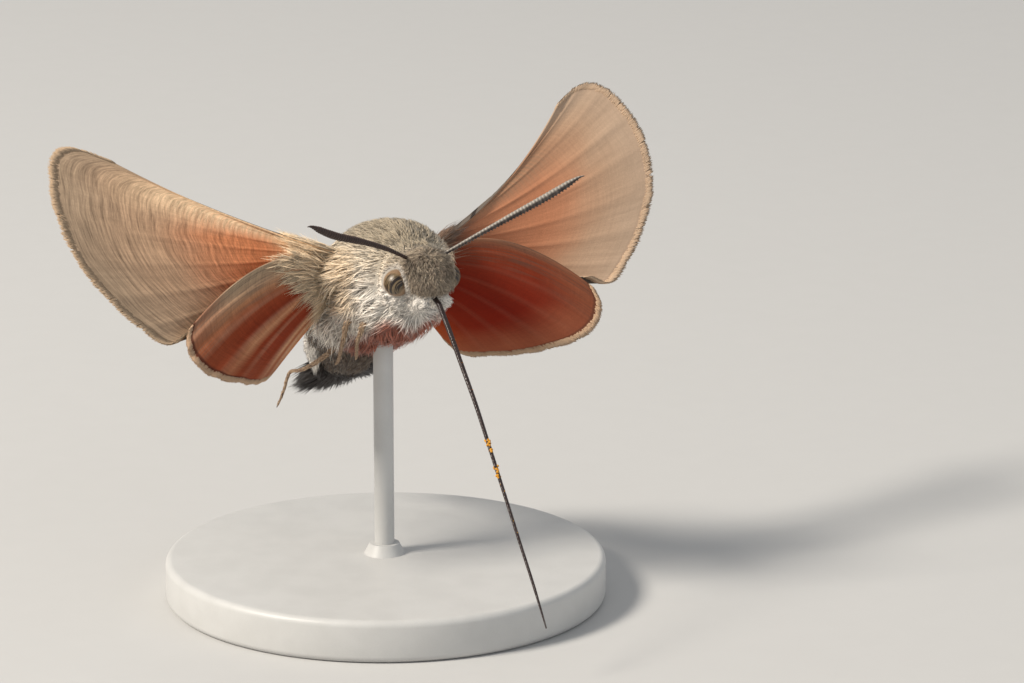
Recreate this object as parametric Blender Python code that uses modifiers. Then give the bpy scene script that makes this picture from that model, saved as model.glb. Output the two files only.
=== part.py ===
"""A hummingbird hawk moth hovering on a plain display stand, life size.

The moth faces -Y and its left side is +X.  Body places are in millimetres from the point midway between
the two forewing hinges, and at() turns them into metres in the world, whose origin is the middle of the
stand's underside.
"""

import math
import random
from typing import NamedTuple

import bmesh
import bpy
from mathutils import Matrix, Vector


class Egg(NamedTuple):
    """An ellipsoid, by its middle and its three radii in millimetres."""

    middle: tuple
    radii: tuple


MM = 0.001
WELD = 0.0011                            # points nearer than this are one
TUBE_WELD = 0.005                        # the same for the caps of a tube
GAP = 0.3                                # clearance between neighbouring pieces
HINGE_MID = Vector((0.0, -1.0, 25.5))    # midway between the forewing hinges, above the stand's middle

# Body: each form is the smooth union of its eggs, seen from a point inside all of them
THORAX_EGGS = (
    Egg((0.0, 0.4, -1.3), (4.3, 3.6, 3.0)),      # shoulders
    Egg((0.0, 0.2, -2.5), (3.9, 4.4, 4.3)),      # breast
    Egg((0.0, 2.9, -4.7), (3.7, 3.4, 3.4)),      # rear, over the abdomen's base
)
THORAX_HEART = Vector((0.0, 1.6, -3.2))
HEAD_EGGS = (
    Egg((0.0, -4.75, -1.15), (2.55, 2.35, 1.95)),
    Egg((0.0, -6.0, -1.45), (1.75, 1.25, 1.1)),  # face
)
HEAD_HEART = Vector((0.0, -5.2, -1.25))
PALP_EGGS = (
    Egg((0.95, -5.3, -3.05), (0.72, 1.0, 0.62)),
    Egg((0.92, -6.2, -2.9), (0.72, 1.0, 0.68)),
)
PALP_HEART = Vector((0.93, -5.75, -2.95))
EYE_MID = Vector((1.95, -4.5, -1.5))
EYE_RADIUS = 0.93
UNION_POWER = 14                         # the higher, the sharper the crease between two eggs
BODY_GRID = (28, 16)                     # points round and from front to rear
SMALL_GRID = (18, 12)
PALP_GRID = (14, 10)
ABDOMEN_SPINE = ((0.0, 2.4, -3.4), (0.1, 4.4, -5.0), (0.5, 6.9, -7.2), (1.1, 8.9, -9.2), (1.5, 10.2, -10.7))
ABDOMEN_RADII = (3.0, 3.3, 3.2, 2.7, 1.85)
ABDOMEN_FLATNESS = 0.86                  # height of a section over its width
ABDOMEN_SEGMENTS = 7
ABDOMEN_SIDES = 18
SEGMENT_RINGS = 3                        # rings in each segment
SEGMENT_SWELL = 0.07                     # how far each segment stands out at its rear edge, over its radius

# Forewing, in its own plane: along the span, across the chord towards the rear edge, and out of its face
SPAN_AXIS = Vector((0.842, 0.445, 0.309))
FACE_AXIS = Vector((0.196, -0.781, 0.592))
FORE_FRONT = Vector((3.0, -0.2, -0.5))
FORE_REAR = Vector((2.4, 3.0, -0.5))
FORE_HINGE = Vector((3.9, 0.0, 0.0))
FORE_MARGIN = (
    (16.9, -1.3), (19.6, -1.2), (20.7, 0.1), (20.3, 2.6), (19.2, 5.0),
    (17.2, 7.5), (14.4, 9.3), (11.7, 10.3), (9.7, 10.6), (8.6, 9.3),
)
FORE_BEND = (2.0, 3.6, -1.6)             # how far the blade bends out of its plane
FORE_LENGTH = 21.0
FORE_CHORD = 10.0
FORE_TILT = {"left": 1.5, "right": -2.0}  # degrees about the hinge line; the right wing is a little lower
FORE_FRONT_SAGS = {                      # belly of the front edge, halfway out
    "left": Vector((0.4, 0.0, -1.2)),
    "right": Vector((0.1, 0.0, -0.5)),
}
FORE_REAR_SAG = Vector((0.0, 0.7, -0.9))    # and of the inner margin, which tucks in behind the hindwing
FORE_ROWS = 12

# Hindwing, whose margin runs from its front corner to the fold beside the abdomen
HIND_FRONT = Vector((3.0, 1.4, -1.7))
HIND_REAR = Vector((2.3, 3.3, -3.6))
HIND_MARGIN = (
    (15.8, -1.0, -4.8), (16.1, -1.5, -5.9), (15.5, -2.0, -7.1), (14.0, -2.1, -8.0), (12.1, -1.6, -8.5),
    (10.3, -0.3, -9.0), (8.7, 1.5, -9.3), (7.4, 3.0, -9.4), (6.2, 3.5, -8.4),
)
HIND_TILT = {"left": 0.0, "right": 4.5}  # degrees that the wing is raised about its front root
HIND_ARCH = Vector((-0.5, 0.3, 2.5))     # arch of the front edge, halfway out
HIND_ROWS = 9

# Wing membrane and veins
MEMBRANE = 0.5
VEIN = 0.8
EDGE = 0.4
VEIN_HALF_WIDTH = 0.22                   # share of the space between two veins
RIDGE_START_ROWS = 3                     # the veins rise over the first rows, so that the root stays even

# Feelers, tongue and legs
ANTENNA_BASE = Vector((1.35, -5.0, 0.2))
ANTENNA_TIPS = {"left": Vector((10.5, -8.5, 5.5)), "right": Vector((-10.9, -8.2, 4.4))}
ANTENNA_RISES = {"left": (0.0, -0.02, -0.06, -0.1, 0.0), "right": (0.0, 0.22, 0.1, -0.18, 0.0)}
ANTENNA_RADII = (0.25, 0.25, 0.25, 0.26, 0.28, 0.3, 0.3, 0.24, 0.08)
ANTENNA_STEPS = 16
TONGUE_PATH = (
    (0.0, -6.9, -2.75), (0.0, -8.4, -4.4), (0.0, -9.9, -6.2), (0.0, -11.9, -8.6), (0.0, -13.6, -10.9),
    (0.0, -15.7, -13.8), (0.0, -17.8, -16.7), (0.0, -19.7, -19.3), (0.0, -21.3, -21.7),
)
TONGUE_RADIUS = 0.25
TONGUE_TAPER = 0.6                       # how much of the radius the tip loses
TONGUE_STEPS = 30
TONGUE_PARTS = 3
TUBE_SIDES = 8
ROD_SIDES = 16
LEG_RADII = (0.4, 0.38, 0.3, 0.28, 0.26, 0.25, 0.12)
LEG_STEPS = 12
LEG_PATHS = {                            # as on the left side; the right ones are then mirrored
    "front_left": ((2.2, 0.2, -5.0), (3.0, 0.5, -5.8), (3.5, 0.8, -6.15), (3.65, 1.2, -6.4),
                   (3.6, 1.6, -6.7), (3.4, 1.9, -6.95), (3.1, 2.1, -7.2)),
    "front_right": ((2.2, -2.0, -4.6), (3.0, -1.7, -4.9), (3.15, -1.5, -5.4), (3.0, -0.6, -6.4),
                    (2.6, 0.2, -7.2), (2.2, 1.0, -7.8), (1.9, 1.7, -8.3)),
    "mid_left": ((2.2, 2.7, -6.0), (3.5, 3.3, -7.3), (3.9, 3.9, -7.5), (3.8, 4.6, -7.8), (3.5, 5.4, -8.2),
                 (3.2, 6.2, -8.6), (3.0, 7.0, -9.0)),
    "mid_right": ((2.8, -0.4, -4.6), (3.7, -0.5, -5.0), (3.8, -0.2, -6.0), (3.6, 0.6, -7.0), (3.2, 1.6, -7.8),
                  (2.9, 2.4, -8.4), (2.7, 3.2, -8.9)),
    "hind_left": ((2.6, 4.8, -6.2), (4.2, 5.4, -6.9), (4.9, 6.3, -7.2), (5.3, 7.4, -7.6), (5.6, 8.5, -7.9),
                  (5.8, 9.5, -9.0), (6.0, 10.4, -10.0)),
    "hind_right": ((2.0, 2.8, -6.6), (3.0, 3.3, -7.9), (3.6, 4.6, -9.0), (3.9, 6.1, -9.8), (4.1, 7.5, -10.3),
                   (4.2, 8.3, -11.8), (4.3, 9.2, -13.2)),
}

# Tail fan
FAN_ROOT = Vector((1.55, 10.5, -11.0))
FAN_AXIS = Vector((0.16, 0.74, -0.65))
FAN_CORE = Vector((1.5, 0.9, 0.8))       # half width, half length and half height of its root
FAN_LENGTH = 3.3
FAN_TIERS = ((9, 38.0, 0.35), (8, 30.0, -0.3))   # vanes, degrees of spread each side, height
VANE_WIDTH = 1.05
VANE_THICK = 0.5
VANE_CURL = -0.25
VANE_LEAN = 0.25                         # how far a tier leans towards its own side
VANE_ROOTS = (1.1, 0.8)                  # how far out of the core's middle they start, across and up
VANE_SHORTENING = 0.12                   # how much shorter the outermost are
VANE_LENGTHS = (0.93, 1.05)              # least and most of the length
FAN_CORE_GRID = (14, 8)

# Side tufts of the abdomen, one row on each side: shares of its length, and their lengths
TUFT_PLACES = ((0.42, 1.3), (0.56, 1.5), (0.7, 1.6), (0.83, 1.5))
TUFT_LOCKS = 3
TUFT_WIDTH = 0.9
TUFT_THICK = 0.55
TUFT_CURL = -0.1
TUFT_STEP = 0.75                         # height between the locks of a tuft
TUFT_SINK = 0.55                         # how deep a lock starts under the surface
TUFT_DROP = 0.3                          # how far below the side's middle a tuft sits
TUFT_BACK = 0.95                         # its way: back along the abdomen,
TUFT_OUT = (0.42, 0.58)                  # out from it, at least and at most,
TUFT_FAN = 0.15                          # and apart from its neighbours
TUFT_LENGTHS = (0.9, 1.1)
TUFT_ROOT = 0.5                          # length that stays under the surface
LOCK_SHARES = (0.0, 0.3, 0.62, 0.86)     # rings along a lock
LOCK_WIDTHS = (0.72, 1.0, 0.86, 0.5)     # and its width there
LOCK_THINNING = 0.55
SEED = 7

# Stand
BASE_RADIUS = 15.5
BASE_THICK = 3.0
BASE_BEVEL = 0.5
BASE_SIDES = 64
ROD_RADIUS = 0.7
ROD_PLACE = Vector((0.0, 0.2))           # from the middle of the base

COLOURS = {
    "fur_grey": ((0.36, 0.31, 0.25), 0.85),
    "fur_white": ((0.80, 0.74, 0.66), 0.85),
    "fur_dark": ((0.07, 0.05, 0.045), 0.85),
    "wing_tan": ((0.50, 0.30, 0.18), 0.7),
    "wing_rust": ((0.46, 0.13, 0.05), 0.7),
    "eye": ((0.12, 0.09, 0.06), 0.25),
    "horn_dark": ((0.05, 0.028, 0.022), 0.35),
    "leg": ((0.34, 0.25, 0.18), 0.7),
    "stand": ((0.82, 0.82, 0.80), 0.3),
}


def at(point):
    """World place, in metres, of a point in millimetres from the middle of the hinges."""
    return (Vector(point) + HINGE_MID) * MM


def mirrored(point, side):
    """The point as it is on the left side, or its mirror image on the right."""
    return Vector((point[0] * side, point[1], point[2]))


def material(slot):
    """The slot's Principled material, made once."""
    found = bpy.data.materials.get(slot)
    if found:
        return found
    colour, rough = COLOURS[slot]
    made = bpy.data.materials.new(slot)
    made.use_nodes = True
    shader = made.node_tree.nodes["Principled BSDF"]
    shader.inputs["Base Color"].default_value = (*colour, 1.0)
    shader.inputs["Roughness"].default_value = rough
    shader.inputs["Metallic"].default_value = 0.0
    return made


def start():
    """Empties the scene and makes the two collections."""
    for thing in list(bpy.data.objects):
        bpy.data.objects.remove(thing, do_unlink=True)
    for name in ("hawk_moth", "cutters"):
        group = bpy.data.collections.get(name) or bpy.data.collections.new(name)
        if name not in bpy.context.scene.collection.children:
            bpy.context.scene.collection.children.link(group)


def add_object(name, mesh, slot=None):
    """Links a mesh as a finished piece, or as a cutter when it has no slot."""
    made = bpy.data.objects.new(name, mesh)
    group = "hawk_moth" if slot else "cutters"
    bpy.data.collections[group].objects.link(made)
    if slot:
        mesh.materials.append(material(slot))
        mesh.shade_smooth()
    else:
        made.hide_render = True
        made.display_type = "WIRE"
    return made


def mesh_from(bm, name):
    """A mesh from a bmesh, in triangles and with its faces outwards."""
    bmesh.ops.recalc_face_normals(bm, faces=bm.faces)
    bmesh.ops.triangulate(bm, faces=bm.faces)
    mesh = bpy.data.meshes.new(name)
    bm.to_mesh(mesh)
    bm.free()
    return mesh


def reach(heart, way, egg, grown):
    """How far an egg goes from the heart, which is inside it, along a way."""
    radii = [radius + grown for radius in egg.radii]
    start = [(heart[i] - egg.middle[i]) / radii[i] for i in range(3)]
    step = [way[i] / radii[i] for i in range(3)]
    square = sum(value * value for value in step)
    slope = sum(one * two for one, two in zip(start, step))
    inside = 1 - sum(value * value for value in start)
    return (math.sqrt(slope * slope + square * inside) - slope) / square


def blob_mesh(name, eggs, heart, grid, side=1, grown=0.0):
    """The smooth union of the eggs, with a pole at its front and rear."""
    bm = bmesh.new()
    bmesh.ops.create_uvsphere(bm, u_segments=grid[0], v_segments=grid[1], radius=1.0)
    bmesh.ops.rotate(bm, verts=bm.verts, matrix=Matrix.Rotation(math.radians(90), 3, "X"))
    for vert in bm.verts:
        way = vert.co.normalized()
        sizes = [reach(heart, mirrored(way, side), egg, grown) for egg in eggs]
        size = sum(value ** UNION_POWER for value in sizes) ** (1 / UNION_POWER)
        vert.co = at(mirrored(heart, side) + way * size)
    return mesh_from(bm, name)


def tube_mesh(name, path, radii, sides=TUBE_SIDES):
    """A round tube along a path in world metres, thick as the radii say, with closed ends."""
    curve = bpy.data.curves.new(name, "CURVE")
    curve.dimensions = "3D"
    curve.bevel_depth = MM
    curve.bevel_resolution = sides // 2 - 2
    curve.use_fill_caps = True
    spline = curve.splines.new("POLY")
    spline.points.add(len(path) - 1)
    for point, place, radius in zip(spline.points, path, radii):
        point.co = (*place, 1.0)
        point.radius = radius
    holder = bpy.data.objects.new(name, curve)
    bpy.context.scene.collection.objects.link(holder)
    bpy.context.view_layer.update()
    shown = holder.evaluated_get(bpy.context.evaluated_depsgraph_get())
    mesh = bpy.data.meshes.new_from_object(shown)
    bpy.data.objects.remove(holder, do_unlink=True)
    bm = bmesh.new()
    bm.from_mesh(mesh)
    bmesh.ops.remove_doubles(bm, verts=bm.verts, dist=MM * TUBE_WELD)
    bpy.data.meshes.remove(mesh)
    return mesh_from(bm, name)


def curve_through(points, place):
    """The point at a whole or part index along the Catmull-Rom curve through the points."""
    ends = [points[0] * 2 - points[1]] + points + [points[-1] * 2 - points[-2]]
    first = min(int(place), len(points) - 2)
    t = place - first
    a, b, c, d = ends[first:first + 4]
    square = 2 * a - 5 * b + 4 * c - d
    cube = 3 * b - a - 3 * c + d
    return 0.5 * (2 * b + (c - a) * t + square * t ** 2 + cube * t ** 3)


def smooth_path(places, count):
    """Points spaced along the curve through the places."""
    points = [Vector(place) for place in places]
    return [curve_through(points, step / (count - 1) * (len(points) - 1)) for step in range(count)]


def blend_values(values, share):
    """The value at a share of the way along a list, between its neighbours."""
    along = share * (len(values) - 1)
    first = min(int(along), len(values) - 2)
    return values[first] + (values[first + 1] - values[first]) * (along - first)


def apply_modifiers(thing):
    """Bakes the modifiers of an object into its mesh."""
    bpy.context.view_layer.update()
    shown = thing.evaluated_get(bpy.context.evaluated_depsgraph_get())
    mesh = bpy.data.meshes.new_from_object(shown)
    thing.modifiers.clear()
    thing.data = mesh


def box_volume(shell):
    """The volume of the box round a set of faces."""
    points = [vert.co for face in shell for vert in face.verts]
    spans = [max(p[i] for p in points) - min(p[i] for p in points) for i in range(3)]
    return spans[0] * spans[1] * spans[2]


def keep_largest(thing):
    """Keeps the closed surface that reaches furthest, which drops scraps and sealed hollows."""
    bm = bmesh.new()
    bm.from_mesh(thing.data)
    bmesh.ops.remove_doubles(bm, verts=bm.verts, dist=MM * WELD)
    left = set(bm.faces)
    shells = []
    while left:
        stack = [left.pop()]
        shell = set(stack)
        while stack:
            for edge in stack.pop().edges:
                for face in edge.link_faces:
                    if face in left:
                        left.discard(face)
                        shell.add(face)
                        stack.append(face)
        shells.append(shell)
    best = max(shells, key=box_volume)
    bmesh.ops.delete(bm, geom=[face for face in bm.faces if face not in best], context="FACES")
    bmesh.ops.delete(bm, geom=[vert for vert in bm.verts if not vert.link_faces], context="VERTS")
    bmesh.ops.triangulate(bm, faces=bm.faces)
    bm.to_mesh(thing.data)
    bm.free()
    thing.data.shade_smooth()


def cut(thing, *cutters):
    """Cuts the thing clear of each cutter."""
    for cutter in cutters:
        modifier = thing.modifiers.new("clear", "BOOLEAN")
        modifier.operation = "DIFFERENCE"
        modifier.solver = "EXACT"
        modifier.object = cutter
    apply_modifiers(thing)
    keep_largest(thing)


def lofted(name, middles, radii):
    """A closed body lofted through elliptic rings square to its spine, with rounded ends."""
    bm = bmesh.new()
    rings = []
    last = len(middles) - 1
    for index, middle in enumerate(middles):
        ahead = (middles[min(index + 1, last)] - middles[max(index - 1, 0)]).normalized()
        side = Vector((1, 0, 0))
        side = (side - ahead * side.dot(ahead)).normalized()
        up = ahead.cross(side)
        ring = []
        for step in range(ABDOMEN_SIDES):
            angle = math.tau * step / ABDOMEN_SIDES
            across = side * math.cos(angle) * radii[index]
            rise = up * math.sin(angle) * radii[index] * ABDOMEN_FLATNESS
            ring.append(bm.verts.new(at(middle + across + rise)))
        rings.append(ring)
    for one, two in zip(rings, rings[1:]):
        for step in range(ABDOMEN_SIDES):
            after = (step + 1) % ABDOMEN_SIDES
            bm.faces.new((one[step], one[after], two[after], two[step]))
    bm.faces.new(rings[0])
    bm.faces.new(rings[-1])
    return mesh_from(bm, name)


def wing(name, slot, rays, rows, side):
    """A thin wing whose main veins are ridges raised in both of its faces.

    Each ray is one vein: its root, its belly and its tip at the margin.  Between two veins the membrane has
    a foot beside each of them, so that a vein is a narrow ridge.
    """
    columns = []
    for index in range(len(rays)):
        if index > 0:
            columns.append((index - VEIN_HALF_WIDTH, MEMBRANE))
        end = index in (0, len(rays) - 1)
        columns.append((index, EDGE if end else VEIN))
        if index < len(rays) - 1:
            columns.append((index + VEIN_HALF_WIDTH, MEMBRANE))
    bm = bmesh.new()
    weights = []
    grid = []
    for place, thick in columns:
        line = []
        for row in range(rows + 1):
            out = row / rows
            points = [root.lerp(tip, out) + belly * 4 * out * (1 - out) for root, belly, tip in rays]
            point = curve_through(points, place)
            line.append(bm.verts.new(at(mirrored(point, side))))
            raised = min(1.0, row / RIDGE_START_ROWS)
            height = MEMBRANE + (thick - MEMBRANE) * raised
            weights.append((min(height, EDGE) if row == rows else height) / VEIN)
        grid.append(line)
    for one, two in zip(grid, grid[1:]):
        for row in range(rows):
            quad = (one[row], one[row + 1], two[row + 1], two[row])
            for corner in ((0, 1, 2), (0, 2, 3)):
                bm.faces.new([quad[i] for i in corner])
    mesh = bpy.data.meshes.new(name)
    bm.to_mesh(mesh)
    bm.free()
    thing = add_object(name, mesh, slot)
    group = thing.vertex_groups.new(name="thickness")
    for index, weight in enumerate(weights):
        group.add([index], weight, "REPLACE")
    solid = thing.modifiers.new("membrane", "SOLIDIFY")
    solid.thickness = VEIN * MM
    solid.offset = 0.0
    solid.vertex_group = "thickness"
    apply_modifiers(thing)
    bm = bmesh.new()
    bm.from_mesh(thing.data)
    bmesh.ops.recalc_face_normals(bm, faces=bm.faces)
    bm.to_mesh(thing.data)
    bm.free()
    return thing


def forewing_rays(word):
    """The veins of a forewing as on the left, from its front edge to its inner margin."""
    turn = Matrix.Rotation(math.radians(FORE_TILT[word]), 3, "X")
    span = SPAN_AXIS.normalized()
    chord = span.cross(FACE_AXIS).normalized()
    face = chord.cross(span)
    rays = []
    last = len(FORE_MARGIN) - 1
    for index, (along, across) in enumerate(FORE_MARGIN):
        share = index / last
        s, t = along / FORE_LENGTH, across / FORE_CHORD
        lift = FORE_BEND[0] * s * s + FORE_BEND[1] * s * t + FORE_BEND[2] * t * t
        tip = FORE_HINGE + turn @ (span * along + chord * across + face * lift)
        root = FORE_FRONT.lerp(FORE_REAR, share)
        rays.append((root, FORE_FRONT_SAGS[word].lerp(FORE_REAR_SAG, share), tip))
    return rays


def hindwing_rays(word):
    """The veins of a hindwing as on the left, from its front edge to the fold beside the abdomen."""
    turn = Matrix.Rotation(math.radians(-HIND_TILT[word]), 3, "Y")
    rays = []
    last = len(HIND_MARGIN) - 1
    for index, place in enumerate(HIND_MARGIN):
        share = index / last
        root = HIND_FRONT.lerp(HIND_REAR, share)
        tip = HIND_FRONT + turn @ (Vector(place) - HIND_FRONT)
        rays.append((root, HIND_ARCH * (1 - share) ** 1.5, tip))
    return rays


def lock_mesh(name, root, along, flat, length, width, thick, curl):
    """A flat lock or vane of diamond section that tapers to its tip and curls towards its flat side."""
    along = along.normalized()
    flat = (flat - along * flat.dot(along)).normalized()
    side = along.cross(flat)
    bm = bmesh.new()
    rings = []
    for share, wide in zip(LOCK_SHARES, LOCK_WIDTHS):
        middle = root + along * length * share + flat * curl * share * share
        half = width * wide / 2
        deep = thick * (1 - LOCK_THINNING * share) / 2
        corners = (side * half, flat * deep, side * -half, flat * -deep)
        rings.append([bm.verts.new(at(middle + corner)) for corner in corners])
    tip = bm.verts.new(at(root + along * length + flat * curl))
    for one, two in zip(rings, rings[1:]):
        for step in range(4):
            after = (step + 1) % 4
            bm.faces.new((one[step], one[after], two[after], two[step]))
    for step in range(4):
        bm.faces.new((rings[-1][step], rings[-1][(step + 1) % 4], tip))
    bm.faces.new(rings[0])
    return mesh_from(bm, name)


def fuse(core, meshes):
    """Joins closed meshes to the core by one union on a collection, and removes them."""
    group = bpy.data.collections.new(core.name + "_locks")
    bpy.context.scene.collection.children.link(group)
    for index, mesh in enumerate(meshes):
        lock = bpy.data.objects.new(f"{core.name}_lock_{index}", mesh)
        lock.hide_render = True
        lock.display_type = "WIRE"
        group.objects.link(lock)
    modifier = core.modifiers.new("locks", "BOOLEAN")
    modifier.operation = "UNION"
    modifier.operand_type = "COLLECTION"
    modifier.solver = "MANIFOLD"
    modifier.collection = group
    apply_modifiers(core)
    for lock in list(group.objects):
        bpy.data.objects.remove(lock, do_unlink=True)
    bpy.data.collections.remove(group)
    keep_largest(core)


def fan_axes():
    """The tail fan's own directions: along it, across it and up out of it."""
    along = FAN_AXIS.normalized()
    across = (Vector((1, 0, 0)) - along * along.x).normalized()
    return along, across, across.cross(along)


def fan_vanes(draw):
    """The tail fan's vanes, in tiers that overlap from side to side."""
    along, across, up = fan_axes()
    vanes = []
    for count, spread, height in FAN_TIERS:
        for index in range(count):
            angle = math.radians(spread * (2 * index / (count - 1) - 1))
            way = along * math.cos(angle) + across * math.sin(angle)
            out = math.sin(angle) * FAN_CORE.x * VANE_ROOTS[0]
            root = FAN_ROOT + across * out + up * height * VANE_ROOTS[1]
            length = FAN_LENGTH * (1 - VANE_SHORTENING * abs(math.sin(angle))) * draw.uniform(*VANE_LENGTHS)
            way = way + up * height * VANE_LEAN
            vanes.append(lock_mesh("vane", root, way, up, length, VANE_WIDTH, VANE_THICK, VANE_CURL))
    return vanes


def fan_core_mesh(name):
    """The rounded root that the tail fan's vanes grow from."""
    along, across, up = fan_axes()
    bm = bmesh.new()
    bmesh.ops.create_uvsphere(bm, u_segments=FAN_CORE_GRID[0], v_segments=FAN_CORE_GRID[1], radius=1.0)
    for vert in bm.verts:
        unit = vert.co.copy()
        place = across * unit.x * FAN_CORE.x + along * unit.y * FAN_CORE.y + up * unit.z * FAN_CORE.z
        vert.co = at(FAN_ROOT + place)
    return mesh_from(bm, name)


def abdomen_rings():
    """The abdomen's spine and its radius at each ring, each segment swelling to its rear edge."""
    count = ABDOMEN_SEGMENTS * SEGMENT_RINGS + 1
    spine = smooth_path(ABDOMEN_SPINE, count)
    radii = []
    for index in range(count):
        step = (index % SEGMENT_RINGS) / (SEGMENT_RINGS - 1) if index < count - 1 else 0.0
        swell = 1 + SEGMENT_SWELL * (step - 0.5)
        radii.append(blend_values(ABDOMEN_RADII, index / (count - 1)) * swell)
    return spine, radii


def side_tufts(spine, draw):
    """Locks in a row of tufts down each side of the abdomen, pointing out and back."""
    locks = []
    for side in (1, -1):
        for share, length in TUFT_PLACES:
            index = int(share * (len(spine) - 1))
            ahead = (spine[index + 1] - spine[index]).normalized()
            across = (Vector((side, 0, 0)) - ahead * ahead.x * side).normalized()
            up = across.cross(ahead) * side
            radius = blend_values(ABDOMEN_RADII, share)
            for step in range(TUFT_LOCKS):
                lift = (step - (TUFT_LOCKS - 1) / 2) * TUFT_STEP
                root = spine[index] + across * (radius - TUFT_SINK) + up * (lift - TUFT_DROP)
                way = ahead * TUFT_BACK + across * draw.uniform(*TUFT_OUT) + up * lift * TUFT_FAN
                size = length * draw.uniform(*TUFT_LENGTHS) + TUFT_ROOT
                locks.append(lock_mesh("tuft", root, way, up, size, TUFT_WIDTH, TUFT_THICK, TUFT_CURL))
    return locks


def disc_mesh(name):
    """The stand's round base, with its upper edge bevelled."""
    bm = bmesh.new()
    radius = BASE_RADIUS * MM
    bmesh.ops.create_cone(
        bm, cap_ends=True, segments=BASE_SIDES, radius1=radius, radius2=radius, depth=BASE_THICK * MM)
    bmesh.ops.translate(bm, verts=bm.verts, vec=(0, 0, BASE_THICK * MM / 2))
    top = max(vert.co.z for vert in bm.verts)
    rim = [edge for edge in bm.edges if all(vert.co.z == top for vert in edge.verts)]
    bmesh.ops.bevel(bm, geom=rim, offset=BASE_BEVEL * MM, segments=2, profile=0.5, affect="EDGES")
    return mesh_from(bm, name)


def clearance(name, mesh):
    """A cutter that keeps the gap round a piece."""
    return add_object(f"{name}_clearance", mesh)


def antenna_tube(word, side):
    """One feeler, curving up from its base to its club."""
    base = mirrored(ANTENNA_BASE, side)
    path = []
    radii = []
    for step in range(ANTENNA_STEPS + 1):
        share = step / ANTENNA_STEPS
        rise = Vector((0, 0, blend_values(ANTENNA_RISES[word], share)))
        path.append(at(base.lerp(ANTENNA_TIPS[word], share) + rise))
        radii.append(blend_values(ANTENNA_RADII, share))
    return tube_mesh("antenna", path, radii)


def leg_tube(places, side):
    """One leg, from its root in the breast to its claw."""
    path = [at(mirrored(place, side)) for place in smooth_path(places, LEG_STEPS + 1)]
    radii = [blend_values(LEG_RADII, step / LEG_STEPS) for step in range(LEG_STEPS + 1)]
    return tube_mesh("leg", path, radii)


def build_head(body_clear):
    """The head, eyes, palps and feelers."""
    head = add_object("head", blob_mesh("head", HEAD_EGGS, HEAD_HEART, BODY_GRID), "fur_grey")
    head_clear = clearance("head", blob_mesh("c", HEAD_EGGS, HEAD_HEART, BODY_GRID, grown=GAP))
    tongue_path = [at(place) for place in smooth_path(TONGUE_PATH, TONGUE_STEPS + 1)]
    wide = [TONGUE_RADIUS + GAP] * len(tongue_path)
    tongue_clear = clearance("tongue", tube_mesh("c", tongue_path, wide))
    eye_clears = []
    palp_clears = []
    for side, word in ((1, "left"), (-1, "right")):
        eye = (Egg(EYE_MID, (EYE_RADIUS,) * 3),)
        add_object(f"eye_{word}", blob_mesh("eye", eye, EYE_MID, SMALL_GRID, side), "eye")
        eye_clears.append(clearance(f"eye_{word}", blob_mesh("c", eye, EYE_MID, SMALL_GRID, side, GAP)))
        palp = add_object(
            f"palp_{word}", blob_mesh("palp", PALP_EGGS, PALP_HEART, PALP_GRID, side), "fur_white")
        palp_clears.append(
            clearance(f"palp_{word}", blob_mesh("c", PALP_EGGS, PALP_HEART, PALP_GRID, side, GAP)))
        cut(palp, body_clear, tongue_clear)
        antenna = add_object(f"antenna_{word}", antenna_tube(word, side), "horn_dark")
        cut(antenna, head_clear)
    cut(head, body_clear, *eye_clears, *palp_clears)
    build_tongue(tongue_path, head_clear)
    return eye_clears


def build_tongue(path, head_clear):
    """The tongue, in parts that stand a gap apart."""
    steps = TONGUE_STEPS // TONGUE_PARTS
    for part in range(TONGUE_PARTS):
        length = path[part * steps:(part + 1) * steps + 1]
        if part > 0:
            length[0] = length[0] + (length[1] - length[0]).normalized() * GAP * MM
        radii = [TONGUE_RADIUS] * len(length)
        if part == TONGUE_PARTS - 1:
            radii = [TONGUE_RADIUS * (1 - TONGUE_TAPER * (step / steps) ** 4) for step in range(len(length))]
        piece = add_object(f"proboscis_{part + 1}", tube_mesh("tongue", length, radii), "horn_dark")
        if part == 0:
            cut(piece, head_clear)


def build_abdomen(body_clear):
    """The abdomen with its side tufts, and the tail fan."""
    draw = random.Random(SEED)
    spine, sizes = abdomen_rings()
    abdomen = add_object("abdomen", lofted("abdomen", spine, sizes), "fur_dark")
    fuse(abdomen, side_tufts(spine, draw))
    cut(abdomen, body_clear)
    wider = [size + GAP for size in sizes]
    longer = spine[:-1] + [spine[-1] + (spine[-1] - spine[-2]).normalized() * GAP]
    abdomen_clear = clearance("abdomen", lofted("c", longer, wider))
    fan = add_object("tail_fan", fan_core_mesh("tail_fan"), "fur_dark")
    fuse(fan, fan_vanes(draw))
    cut(fan, abdomen_clear)
    return abdomen_clear


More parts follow.
